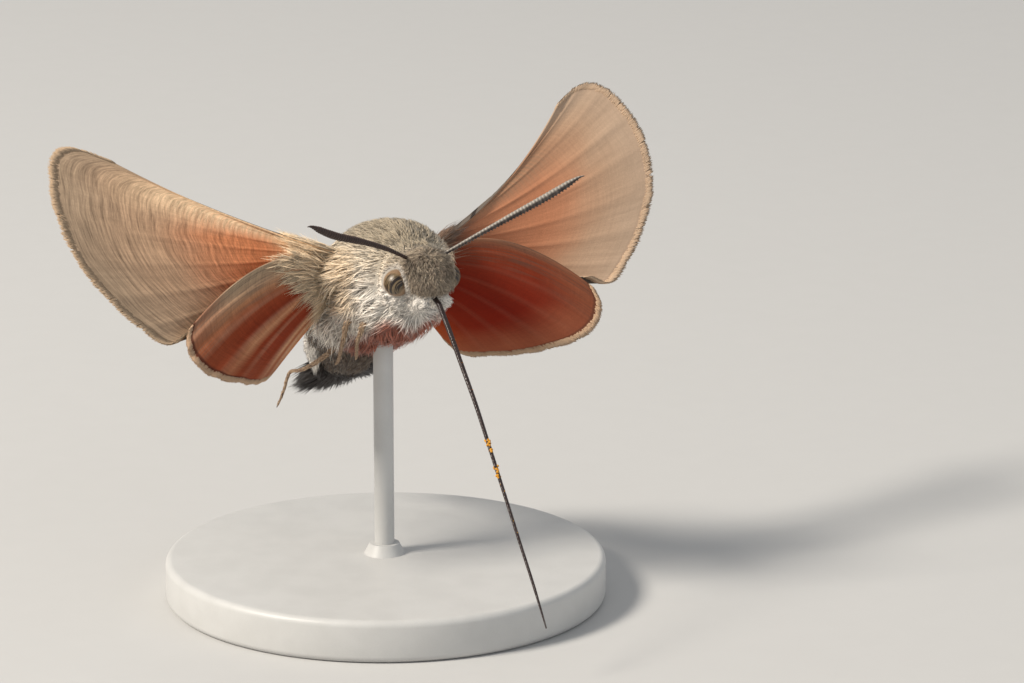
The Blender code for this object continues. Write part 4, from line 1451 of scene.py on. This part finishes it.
@dataclass
class Hindwing(Wing):
    """A hindwing, under the forewing, whose inner part folds back beside the abdomen."""

    front: Point = (3.0, 1.4, -1.7)
    rear: Point = (2.3, 3.3, -3.6)
    arch: Point = (-0.5, 0.3, 2.5)
    tilts: tuple[float, float] = (0.0, 4.5)
    margin: tuple[Point, ...] = (
        (15.8, -1.0, -4.8), (16.1, -1.5, -5.9), (15.5, -2.0, -7.1), (14.0, -2.1, -8.0), (12.1, -1.6, -8.5),
        (10.3, -0.3, -9.0), (8.7, 1.5, -9.3), (7.4, 3.0, -9.4), (6.2, 3.5, -8.4),
    )

    def rays(self) -> list[tuple[Vector, Vector, Vector]]:
        """Root, belly and tip of each vein of the left hindwing, as its own side has them."""
        front = Vector(self.front)
        turn = Matrix.Rotation(math.radians(-self.tilts[0 if self.side is Side.LEFT else 1]), 3, "Y")
        rays = []
        for index, place in enumerate(self.margin):
            share = index / (len(self.margin) - 1)
            tip = front + turn @ (Vector(place) - front)
            rays.append((front.lerp(Vector(self.rear), share), Vector(self.arch) * (1 - share) ** 1.5, tip))
        return rays


@dataclass
class WingRootHair:
    """The long pale hair that fans from the thorax over the base of each wing.

    Attributes:
        forewing: hairs on the base of each forewing, the right and the left.
        hindwing: the same for the hindwings.
        forewing_reach: how far out along the veins it is rooted, on the right and the left forewing.
        hindwing_reach: the same for the hindwings.
        start: how far out the first are rooted.
        lengths: a hair's length at the root, and how much of it is lost by the end of the reach.
        height: how far over the wing's middle they start.
        pale: how white they are on the right and the left.
    """

    forewing: tuple[int, int] = (4400, 1600)
    hindwing: tuple[int, int] = (5800, 1400)
    forewing_reach: tuple[float, float] = (0.13, 0.07)
    hindwing_reach: tuple[float, float] = (0.26, 0.08)
    start: float = 0.03
    lengths: tuple[float, float] = (2.2, 1.2)
    height: float = 0.05
    pale: tuple[float, float] = (0.8, 0.6)

    def build(self, wings: Sequence[Wing]) -> None:
        """Grows hair over the base of each wing, on both faces."""
        # On the left, brown stands in for the cream hair: painted shade over the left wing roots.
        cream, brown = (0.80, 0.62, 0.42), (0.36, 0.225, 0.15)
        materials = [
            CoatFinish("root_hair_right", BodyMarkings(white=cream)).material(),
            CoatFinish("root_hair_left", BodyMarkings(white=brown, cream=brown, flank=brown)).material(),
        ]
        for order, wing in enumerate(wings):
            own = 0 if wing.side is Side.RIGHT else 1
            fore = isinstance(wing, Forewing)
            count = (self.forewing if fore else self.hindwing)[own]
            reach = (self.forewing_reach if fore else self.hindwing_reach)[own]
            draw = np.random.default_rng(SEED + 40 + order)
            tufts = TuftSet(SEED + 60 + order)
            last = len(wing.veins) - 1
            for face in (1, -1):
                rows = [self._root(wing, draw, face, last, reach) for _ in range(count // 2)]
                places, lies, normals, lengths = (np.array(column) for column in zip(*rows))
                style = TuftStyle(
                    width=0.065, lift=0.1, settle=0.55, sway=0.1, lock=26, gather=0.5, curl=0.16,
                    guards=0.2, pale=self.pale[own])
                tufts.add(Roots(places, normals, lies, Body.unwrap(places)), lengths, style)
            add_piece(f"{wing.node}_root_hair", tufts.mesh("root_hair"), materials[own], [])

    def _root(
        self, wing: Wing, draw: np.random.Generator, face: int, last: int, reach: float
    ) -> tuple[Vector, Vector, Vector, float]:
        """One hair's root, way and normal on a wing's face, and its length.

        Args:
            wing: the wing it grows on.
            draw: where chance comes from.
            face: 1 for the lower face, -1 for the upper.
            last: the number of the wing's last vein.
            reach: how far out along the veins it may be rooted.

        Returns:
            The root, the way, the normal and the length.
        """
        place = draw.uniform(0, last)
        front = 1 - place / last
        share = draw.uniform(0, 1) ** 1.3
        out = self.start + reach * (0.7 + 0.9 * front ** 2) * share
        one = wing.point(out, place)
        ahead = wing.point(out + 0.03, place) - one
        near = wing.point(out, min(place + 0.2, last)) - wing.point(out, max(place - 0.2, 0))
        normal = ahead.cross(near).normalized()
        normal = normal if (normal.y < 0) == (face > 0) else -normal
        full, loss = self.lengths
        length = (full - loss * share) * draw.uniform(0.7, 1.1)
        return one + normal * self.height, ahead.normalized(), normal, length


# Eyes, feelers, tongue, legs and tail


@dataclass
class Eyes:
    """The two compound eyes."""

    radius: float = 0.93

    def build(self) -> None:
        """Makes both eyes."""
        material = EyeFinish().material()
        for side in Side:
            bm = bmesh.new()
            bmesh.ops.create_icosphere(bm, subdivisions=5, radius=self.radius)
            for vert in bm.verts:
                vert.co = at(mirrored(EYE_MIDDLE, side) + vert.co)
            add_piece(f"eye_{side.word}_lens", mesh_from(bm, "eye"), material, [f"eye_{side.word}"])


@dataclass
class Antenna:
    """A ringed, club-shaped feeler with a comb of short teeth under it.

    Attributes:
        side: the side it is on.
        finish: its horn.
        tip: its tip, as on its own side.
        rises: height over the straight line from base to tip, at even shares.
        base: its root on the left side.
        sink: how deep the root starts in the coat.
        rings: its joints.
        radii: from root to tip.
        tooth: length of a comb's tooth.
        hook: how far the tip bends down, and over what share of the feeler.
        joint: the radii through one joint, as shares.
        leans: the ways of the two rows of teeth.
    """

    side: Side
    finish: HornFinish
    tip: Point
    rises: tuple[float, ...]
    base: Point = (1.35, -5.0, 0.2)
    sink: float = 0.35
    rings: int = 46
    radii: tuple[float, ...] = (0.12, 0.13, 0.15, 0.175, 0.205, 0.235, 0.255, 0.265, 0.22, 0.02)
    tooth: float = 0.12
    hook: tuple[float, float] = (0.16, 0.06)
    joint: tuple[float, ...] = (0.86, 0.98, 1.05, 1.0)
    leans: tuple[float, float] = (-0.75, 0.35)

    def build(self) -> None:
        """Makes the feeler."""
        base = mirrored(self.base, self.side)
        tip = Vector(self.tip)
        start = base - (tip - base).normalized() * self.sink
        heights = [Vector((0.0, 0.0, height)) for height in self.rises]
        drop, end = self.hook
        steps = self.rings * len(self.joint)
        path, radii = [], []
        for step in range(steps + 1):
            share = step / steps
            hook = Vector((0, 0, -drop)) * max(0.0, (share - (1 - end)) / end) ** 2
            path.append(start.lerp(tip, share) + spline_point(heights, share * (len(heights) - 1)) + hook)
            radii.append(between(self.radii, share) * self.joint[step % len(self.joint)])
        bm = bmesh.new()
        sweep(bm, path, radii, 16)
        self._comb(bm, path, radii)
        bmesh.ops.recalc_face_normals(bm, faces=bm.faces)
        node = f"antenna_{self.side.word}"
        add_piece(f"{node}_horn", mesh_from(bm, node), self.finish.material(), [node])

    def _comb(self, bm: bmesh.types.BMesh, path: list[Vector], radii: list[float]) -> None:
        """Two short teeth under each ring."""
        for ring in range(5, self.rings - 2):
            index = ring * len(self.joint) + 2
            ahead = (path[index + 1] - path[index]).normalized()
            for lean in self.leans:
                below = Vector((0, lean, -1))
                down = (below - ahead * ahead.dot(below)).normalized()
                root = path[index] + down * radii[index] * 0.75
                long = self.tooth * (0.5 + radii[index] * 2.4)
                tooth = [root, root + down * long * 0.6, root + down * long + ahead * 0.03]
                sweep(bm, tooth, [0.055, 0.045, 0.012], 5)


@dataclass(frozen=True)
class PollenClump:
    """A clump of pollen grains: its place along the tongue, its reach and how many it has."""

    share: float
    reach: float
    grains: int


@dataclass
class Tongue:
    """The long tongue, bare and glossy, with pollen stuck to it."""

    path: tuple[Point, ...] = (
        (0.0, -6.9, -2.75), (0.0, -8.4, -4.4), (0.0, -9.9, -6.2), (0.0, -11.9, -8.6), (0.0, -13.6, -10.9),
        (0.0, -15.7, -13.8), (0.0, -17.8, -16.7), (0.0, -19.7, -19.3), (0.0, -21.3, -21.7),
    )
    root: Point = (0.0, -5.9, -2.3)
    radii: tuple[float, ...] = (0.19, 0.18, 0.165, 0.15, 0.135, 0.125, 0.115, 0.105, 0.05)
    steps: int = 280
    clumps: tuple[PollenClump, ...] = (
        PollenClump(0.497, 0.2, 26), PollenClump(0.517, 0.13, 10), PollenClump(0.565, 0.16, 14),
        PollenClump(0.585, 0.12, 8),
    )
    loose: int = 16

    def build(self) -> None:
        """Makes the tongue and its pollen."""
        path = spline(self.path, self.steps)
        radii = [between(self.radii, step / (self.steps - 1)) for step in range(self.steps)]
        horn = [radius * (1.0 + 0.03 * math.sin(step * 1.9)) for step, radius in enumerate(radii)]
        bm = bmesh.new()
        sweep(bm, [Vector(self.root), *path], [horn[0], *horn], 18, 0.88)
        bmesh.ops.recalc_face_normals(bm, faces=bm.faces)
        # The tongue's pale stripe along one side is a painted highlight.
        finish = HornFinish(
            "tongue_horn", dark=(0.026, 0.013, 0.011), light=(0.13, 0.105, 0.095), gloss=0.22, rings=90.0,
            stripe_and_highlight=0.45, stripe_and_highlight_turn=0.5)
        nodes = ["proboscis_1", "proboscis_2", "proboscis_3"]
        add_piece("tongue", mesh_from(bm, "tongue"), finish.material(), nodes)
        draw = np.random.default_rng(SEED + 4)
        bm = bmesh.new()
        for clump in self.clumps:
            for _ in range(clump.grains):
                share = clump.share + draw.normal(0, clump.reach * 0.02)
                self._grain(bm, path, radii, draw, share, draw.uniform(0.05, 0.1))
        for _ in range(self.loose):
            self._grain(bm, path, radii, draw, draw.uniform(0.1, 0.75), draw.uniform(0.025, 0.04))
        add_piece("pollen_grains", mesh_from(bm, "pollen"), PollenFinish().material(), [])

    @staticmethod
    def _grain(
        bm: bmesh.types.BMesh, path: list[Vector], radii: list[float], draw: np.random.Generator,
        share: float, size: float,
    ) -> None:
        """Sticks one grain to the tongue."""
        index = int(share * (len(path) - 1))
        way = Vector(draw.normal(0, 1, 3)).normalized()
        made = bmesh.ops.create_icosphere(bm, subdivisions=2, radius=size)["verts"]
        for vert in made:
            vert.co = at(path[index] + way * radii[index] * 1.05 + vert.co)


@dataclass
class Legs:
    """The six jointed legs.

    Attributes:
        paths: the middle line of each, as on the left side.
        radii: from root to tip.
        steps: sections of a leg.
        foot_from: the section at which the foot's joints begin.
        foot_joint: sections to a joint of the foot.
        waist: how much thinner a joint of the foot is.
        scales: scales on each leg.
    """

    paths: dict[str, tuple[Point, ...]] = field(default_factory=lambda: {
        "front_left": ((2.2, 0.2, -5.0), (3.0, 0.5, -5.8), (3.5, 0.8, -6.15), (3.65, 1.2, -6.4),
                       (3.6, 1.6, -6.7), (3.4, 1.9, -6.95), (3.1, 2.1, -7.2)),
        "front_right": ((2.2, -2.0, -4.6), (3.0, -1.7, -4.9), (3.15, -1.5, -5.4), (3.0, -0.6, -6.4),
                        (2.6, 0.2, -7.2), (2.2, 1.0, -7.8), (1.9, 1.7, -8.3)),
        "mid_left": ((2.2, 2.7, -6.0), (3.5, 3.3, -7.3), (3.9, 3.9, -7.5), (3.8, 4.6, -7.8),
                     (3.5, 5.4, -8.2), (3.2, 6.2, -8.6), (3.0, 7.0, -9.0)),
        "mid_right": ((2.8, -0.4, -4.6), (3.7, -0.5, -5.0), (3.8, -0.2, -6.0), (3.6, 0.6, -7.0),
                      (3.2, 1.6, -7.8), (2.9, 2.4, -8.4), (2.7, 3.2, -8.9)),
        "hind_left": ((2.6, 4.8, -6.2), (4.2, 5.4, -6.9), (4.9, 6.3, -7.2), (5.3, 7.4, -7.6),
                      (5.6, 8.5, -7.9), (5.8, 9.5, -9.0), (6.0, 10.4, -10.0)),
        "hind_right": ((2.0, 2.8, -6.6), (3.0, 3.3, -7.9), (3.6, 4.6, -9.0), (3.9, 6.1, -9.8),
                       (4.1, 7.5, -10.3), (4.2, 8.3, -11.8), (4.3, 9.2, -13.2)),
    })
    radii: tuple[float, ...] = (0.2, 0.18, 0.13, 0.11, 0.095, 0.085, 0.04)
    steps: int = 49
    foot_from: int = 32
    foot_joint: int = 4
    waist: float = 0.25
    scales: int = 1000

    def build(self) -> None:
        """Makes the six legs and their scales."""
        horn = HornFinish("leg_horn", (0.12, 0.065, 0.04), (0.30, 0.20, 0.13), 0.55, 26.0).material()
        # The leg scales' deep colour is painted shade at their roots.
        coat = ScaleFinish("leg_scales", (0.54, 0.39, 0.26), (0.17, 0.105, 0.065)).material()
        for row in ("front", "mid", "hind"):
            for side in Side:
                name = f"{row}_{side.word}"
                path = [mirrored(point, side) for point in spline(self.paths[name], self.steps)]
                radii = [self._radius(step) for step in range(self.steps)]
                bm = bmesh.new()
                sweep(bm, path, radii, 12)
                bmesh.ops.recalc_face_normals(bm, faces=bm.faces)
                node = f"leg_{name}"
                add_piece(f"{node}_horn", mesh_from(bm, node), horn, [node])
                self._scales(path, radii, node, coat)

    def _radius(self, step: int) -> float:
        """The radius at a section, drawn in at the joints of the foot."""
        joint = step > self.foot_from and step % self.foot_joint == 0
        return between(self.radii, step / (self.steps - 1)) * (1 - self.waist * joint)

    def _scales(self, path: list[Vector], radii: list[float], node: str, coat: bpy.types.Material) -> None:
        """Short scales that lie down the leg, longest near its root."""
        draw = np.random.default_rng(SEED + 9)
        share = draw.uniform(0, 0.97, self.scales)
        turn = draw.uniform(0, 2 * math.pi, self.scales)
        place = share * (len(path) - 1)
        low = place.astype(int)
        part = (place - low)[:, None]
        points = np.array(path)
        middle = points[low] * (1 - part) + points[low + 1] * part
        ahead = unit_rows(points[low + 1] - points[low])
        side = unit_rows(np.cross(ahead, [0.3, 0.2, 1.0]))
        up = np.cross(side, ahead)
        normal = side * np.cos(turn)[:, None] + up * np.sin(turn)[:, None]
        radius = np.interp(place, range(len(radii)), radii)[:, None]
        uv = np.stack([0.02 + 0.96 * turn / (2 * math.pi), 0.02 + 0.96 * share], 1)
        tufts = TuftSet(SEED + 11)
        roots = Roots(middle + normal * radius * 0.85, normal, ahead, uv)
        style = TuftStyle(width=0.095, lift=0.13, sway=0.2, guards=0.04)
        tufts.add(roots, 0.17 + 0.22 * (1 - share) ** 2, style)
        add_piece(f"{node}_scales", tufts.mesh("leg_scales"), coat, [])


@dataclass(frozen=True)
class SideTuft:
    """A tuft on the abdomen's side: its share of the abdomen's length, its own length, and if it is white."""

    share: float
    length: float
    white: bool


@dataclass
class Tail:
    """The dark tail fan and the tufts down the abdomen's sides.

    Attributes:
        root: the middle of the fan's root.
        axis: the way the fan points.
        core: half its root's width, its length and its height.
        length: length of its hairs.
        spread: half the angle it opens to, in degrees.
        hairs: how many it has.
        hairs_in_tuft: how many each side tuft has.
        tuft_places: the side tufts.
    """

    root: Point = (1.55, 10.5, -11.0)
    axis: Point = (0.16, 0.74, -0.65)
    core: Point = (1.5, 0.9, 0.8)
    length: float = 3.3
    spread: float = 40.0
    hairs: int = 7000
    hairs_in_tuft: int = 600
    tuft_places: tuple[SideTuft, ...] = (
        SideTuft(0.42, 1.3, False), SideTuft(0.56, 1.5, True),
        SideTuft(0.7, 1.6, True), SideTuft(0.83, 1.5, False))

    def build(self, body: Body) -> None:
        """Makes the fan and the side tufts.

        Args:
            body: whose abdomen they grow from.
        """
        material = CoatFinish().material()
        along = Vector(self.axis).normalized()
        across = (Vector((1, 0, 0)) - along * along.x).normalized()
        up = across.cross(along)
        draw = np.random.default_rng(SEED + 30)
        angle = np.radians(draw.uniform(-self.spread, self.spread, self.hairs))
        height = draw.uniform(-1, 1, self.hairs)
        back = draw.uniform(0, 1, self.hairs)
        ahead, wide, high = (np.array(v) for v in (along, across, up))
        way = ahead * np.cos(angle)[:, None] + wide * np.sin(angle)[:, None]
        places = np.array(self.root) + wide * (np.sin(angle) * self.core[0] * 1.3)[:, None]
        places = places + high * (height * self.core[2] * 0.7)[:, None] - ahead * (back * 1.1)[:, None]
        lies = way + high * (height * 0.14)[:, None]
        normals = np.where(height[:, None] > 0, high, -high)
        uv = np.stack([0.5 + angle / 4, np.full(self.hairs, 0.97)], 1)
        tufts = TuftSet(SEED + 31)
        style = TuftStyle(
            width=0.12, lift=0.04, settle=0.8, sway=0.1, lock=70, gather=0.6, curl=0.1, dark=0.75)
        tufts.add(Roots(places, normals, lies, uv), self.length * (1 - 0.2 * back), style)
        add_piece("tail_fan_vanes", tufts.mesh("tail_fan"), material, ["tail_fan"])
        self._side_tufts(body, material)

    def _side_tufts(self, body: Body, material: bpy.types.Material) -> None:
        """White and dark tufts in a row down each side."""
        steps = 60
        path = spline(body.spine, steps)
        tufts = TuftSet(SEED + 33)
        draw = np.random.default_rng(SEED + 34)
        count = self.hairs_in_tuft
        for side in Side:
            for tuft in self.tuft_places:
                index = int(tuft.share * (steps - 1))
                ahead = (path[min(index + 1, steps - 1)] - path[index - 1]).normalized()
                across = (Vector((side.sign, 0, 0)) - ahead * ahead.x * side.sign).normalized()
                up = across.cross(ahead) * side.sign
                radius = between(body.spine_radii, tuft.share) - body.coat_depth
                lift = draw.uniform(-1.0, 1.0, count)
                slide = draw.uniform(-0.5, 0.5, count)
                long, wide, high = (np.array(v) for v in (ahead, across, up))
                places = np.array(path[index]) + wide * (radius * np.cos(lift * 0.4))[:, None]
                places = places + high * lift[:, None] + long * slide[:, None]
                lies = long + wide * draw.uniform(0.3, 0.6, count)[:, None] + high * (lift * 0.15)[:, None]
                normals = np.tile(wide, (count, 1))
                style = TuftStyle(
                    width=0.09, lift=0.4, sway=0.12, lock=50, gather=0.6, curl=0.12,
                    pale=0.85 * tuft.white, dark=0.75 * (not tuft.white))
                roots = Roots(places, normals, lies, Body.unwrap(places))
                tufts.add(roots, np.full(count, tuft.length), style)
        add_piece("side_tufts", tufts.mesh("side_tufts"), material, [])


# The stand, the light and the camera


@dataclass
class Stand:
    """The round base and its rod.

    Attributes:
        radius: the base's radius.
        thick: its height.
        chamfer: how far its rims are rounded.
        corners: corners of the base.
        sink: how far the rod runs into the coat.
        foot_depth: how far the rod and its collar start under the base's top.
        collar: the collar's radii at its foot and its neck, over the rod's, and its height.
        collar_middle: height of the collar's middle over the base's top.
    """

    radius: float = 15.5
    thick: float = 3.0
    chamfer: float = 0.5
    corners: int = 192
    sink: float = 0.9
    foot_depth: float = 0.2
    collar: Point = (2.1, 1.5, 0.8)
    collar_middle: float = 0.35

    def build(self) -> None:
        """Makes the base and the rod."""
        material = StandFinish().material()
        self._base(material)
        self._rod(material)

    def _base(self, material: bpy.types.Material) -> None:
        """The disc, with a rounded rim."""
        bm = bmesh.new()
        bmesh.ops.create_cone(
            bm, cap_ends=True, segments=self.corners, radius1=self.radius * MM, radius2=self.radius * MM,
            depth=self.thick * MM)
        bmesh.ops.translate(bm, verts=bm.verts, vec=box_middle("stand_base"))
        rims = [edge for edge in bm.edges if abs(edge.verts[0].co.z - edge.verts[1].co.z) < MM * 0.01]
        bmesh.ops.bevel(
            bm, geom=rims, offset=self.chamfer * MM, segments=5, profile=0.5, affect="EDGES", material=-1)
        mesh = mesh_from(bm, "base")
        mesh.set_sharp_from_angle(angle=math.radians(40))
        add_piece("stand_base_disc", mesh, material, ["stand_base"])

    def _rod(self, material: bpy.types.Material) -> None:
        """The rod, which runs into the coat, and the collar at its foot."""
        low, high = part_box("stand_rod")
        middle = box_middle("stand_rod")
        radius = (high[0] - low[0]) / 2
        top = high[2] + self.sink * MM
        foot = (self.thick - self.foot_depth) * MM
        bm = bmesh.new()
        bmesh.ops.create_cone(
            bm, cap_ends=True, segments=48, radius1=radius, radius2=radius, depth=top - foot)
        bmesh.ops.translate(bm, verts=bm.verts, vec=(middle.x, middle.y, (top + foot) / 2))
        foot_radius, neck_radius, tall = self.collar
        collar = bmesh.ops.create_cone(
            bm, cap_ends=True, segments=64, radius1=radius * foot_radius, radius2=radius * neck_radius,
            depth=tall * MM)["verts"]
        height = (self.thick + self.collar_middle) * MM
        bmesh.ops.translate(bm, verts=collar, vec=(middle.x, middle.y, height))
        mesh = mesh_from(bm, "rod")
        mesh.set_sharp_from_angle(angle=math.radians(35))
        add_piece("stand_rod_pin", mesh, material, ["stand_rod"])


@dataclass(frozen=True)
class SoftLight:
    """A square lamp: its way from the moth by the camera's right, up and back, and what it gives."""

    name: str
    way: Point
    distance: float
    size: float
    power: float
    colour: Colour


@dataclass
class Studio:
    """The pale floor, the soft lights and the camera at the photograph's angle."""

    azimuth: float = -30.0
    elevation: float = 14.5
    pixels_per_mm: float = 14.5
    distance: float = 300.0
    hinge_pixel: tuple[float, float] = (390.5, 245.0)
    frame_pixels: tuple[float, float] = (1024.0, 683.0)
    sensor: float = 36.0
    lights: tuple[SoftLight, ...] = (
        SoftLight("key", (-0.75, 0.6, 0.52), 0.9, 0.22, 11.2, (1.0, 0.93, 0.83)),
        SoftLight("fill", (0.8, 0.2, 0.7), 0.9, 0.60, 1.1, (0.88, 0.94, 1.0)),
        SoftLight("rim", (0.2, 0.9, -0.6), 0.8, 0.35, 0.5, (1.0, 0.96, 0.9)),
    )
    surround: Colour = (0.88, 0.91, 0.95)
    surround_strength: float = 0.42
    clip: tuple[float, float] = (0.01, 20.0)
    lamp_aim: Point = (0, 0, -3)
    floor_size: float = 6.0
    paper: Colour = (0.53, 0.525, 0.515)

    def build(self) -> None:
        """Makes the floor, the lights and the camera."""
        self._floor()
        self._world()
        for light in self.lights:
            self._lamp(light)
        self._camera()

    def _axes(self) -> tuple[Vector, Vector, Vector]:
        """The camera's right, up and back."""
        turn, slope = math.radians(self.azimuth), math.radians(self.elevation)
        back = Vector((math.sin(turn) * math.cos(slope), -math.cos(turn) * math.cos(slope), math.sin(slope)))
        right = Vector((math.cos(turn), math.sin(turn), 0))
        return right, back.cross(right), back

    def _camera(self) -> None:
        """Sets the camera so that the hinges' middle falls on its pixel."""
        right, up, back = self._axes()
        wide, tall = self.frame_pixels
        aim = right * (wide / 2 - self.hinge_pixel[0]) / self.pixels_per_mm
        aim += up * (self.hinge_pixel[1] - tall / 2) / self.pixels_per_mm
        data = bpy.data.cameras.new("camera")
        data.sensor_width = self.sensor
        data.lens = self.sensor * self.pixels_per_mm * self.distance / wide
        data.clip_start, data.clip_end = self.clip
        camera = bpy.data.objects.new("camera", data)
        bpy.context.scene.collection.objects.link(camera)
        turned = Matrix((right, up, back)).transposed().to_4x4()
        camera.matrix_world = Matrix.Translation(at(aim + back * self.distance)) @ turned
        bpy.context.scene.camera = camera

    def _floor(self) -> None:
        """A wide pale floor."""
        bm = bmesh.new()
        bmesh.ops.create_grid(bm, x_segments=2, y_segments=2, size=self.floor_size)
        floor = bpy.data.objects.new("floor", mesh_from(bm, "floor"))
        bpy.context.scene.collection.objects.link(floor)
        graph = Graph("floor_paper")
        place, _, _, _ = graph.body_place()
        grain = graph.noise(place, 0.4, 3.0)
        tint = graph.colour(self.paper).shaded(0.98 + grain * 0.03)
        graph.finish(tint, 0.9)
        floor.data.materials.append(graph.material)

    def _world(self) -> None:
        """An even pale surround."""
        world = bpy.data.worlds.new("studio")
        world.use_nodes = True
        background = world.node_tree.nodes["Background"]
        background.inputs["Color"].default_value = (*self.surround, 1.0)
        background.inputs["Strength"].default_value = self.surround_strength
        bpy.context.scene.world = world
        bpy.context.scene.view_settings.view_transform = "Standard"

    def _lamp(self, light: SoftLight) -> None:
        """Hangs one lamp, turned to the moth."""
        right, up, back = self._axes()
        data = bpy.data.lights.new(light.name, "AREA")
        data.size = light.size
        data.energy = light.power
        data.color = light.colour
        lamp = bpy.data.objects.new(light.name, data)
        bpy.context.scene.collection.objects.link(lamp)
        way = right * light.way[0] + up * light.way[1] + back * light.way[2]
        lamp.location = at((0, 0, 0)) + way.normalized() * light.distance
        lamp.rotation_euler = (at(self.lamp_aim) - lamp.location).to_track_quat("-Z", "Y").to_euler()


def main() -> None:
    """Builds the studio and every piece in order."""
    logging.basicConfig(level=logging.INFO, format="%(message)s")
    Studio().build()
    body = Body()
    body.build()
    Eyes().build()
    wings: list[Wing] = []
    for side in Side:
        wings.append(Forewing(side, "forewing", "wing_tan", forewing_finish(side)))
        wings.append(Hindwing(
            side, "hindwing", "wing_rust", hindwing_finish(side), rows=60,
            fringe=0.24 if side is Side.RIGHT else 0.36,
            ripple=0.1 if side is Side.RIGHT else 0.04))
    for wing in wings:
        wing.build()
    WingRootHair().build(wings)
    striped = HornFinish(
        "antenna_left_horn", dark=(0.04, 0.026, 0.022), light=(0.40, 0.36, 0.31), gloss=0.55, rings=46.0,
        stripe_and_highlight=0.85, ring_depth=0.4)
    plain = HornFinish(
        "antenna_right_horn", dark=(0.035, 0.016, 0.011), light=(0.12, 0.06, 0.04), gloss=0.45, rings=46.0,
        stripe_and_highlight=0.2, ring_depth=0.3)
    Antenna(Side.LEFT, striped, (10.5, -8.5, 5.5), (0.0, -0.02, -0.06, -0.1, 0.0)).build()
    Antenna(Side.RIGHT, plain, (-10.6, -8.1, 4.27), (0.0, 0.2, 0.1, -0.12, 0.0), tooth=0.05).build()
    Tongue().build()
    Legs().build()
    Tail().build(body)
    Stand().build()


if __name__ == "__main__":
    main()
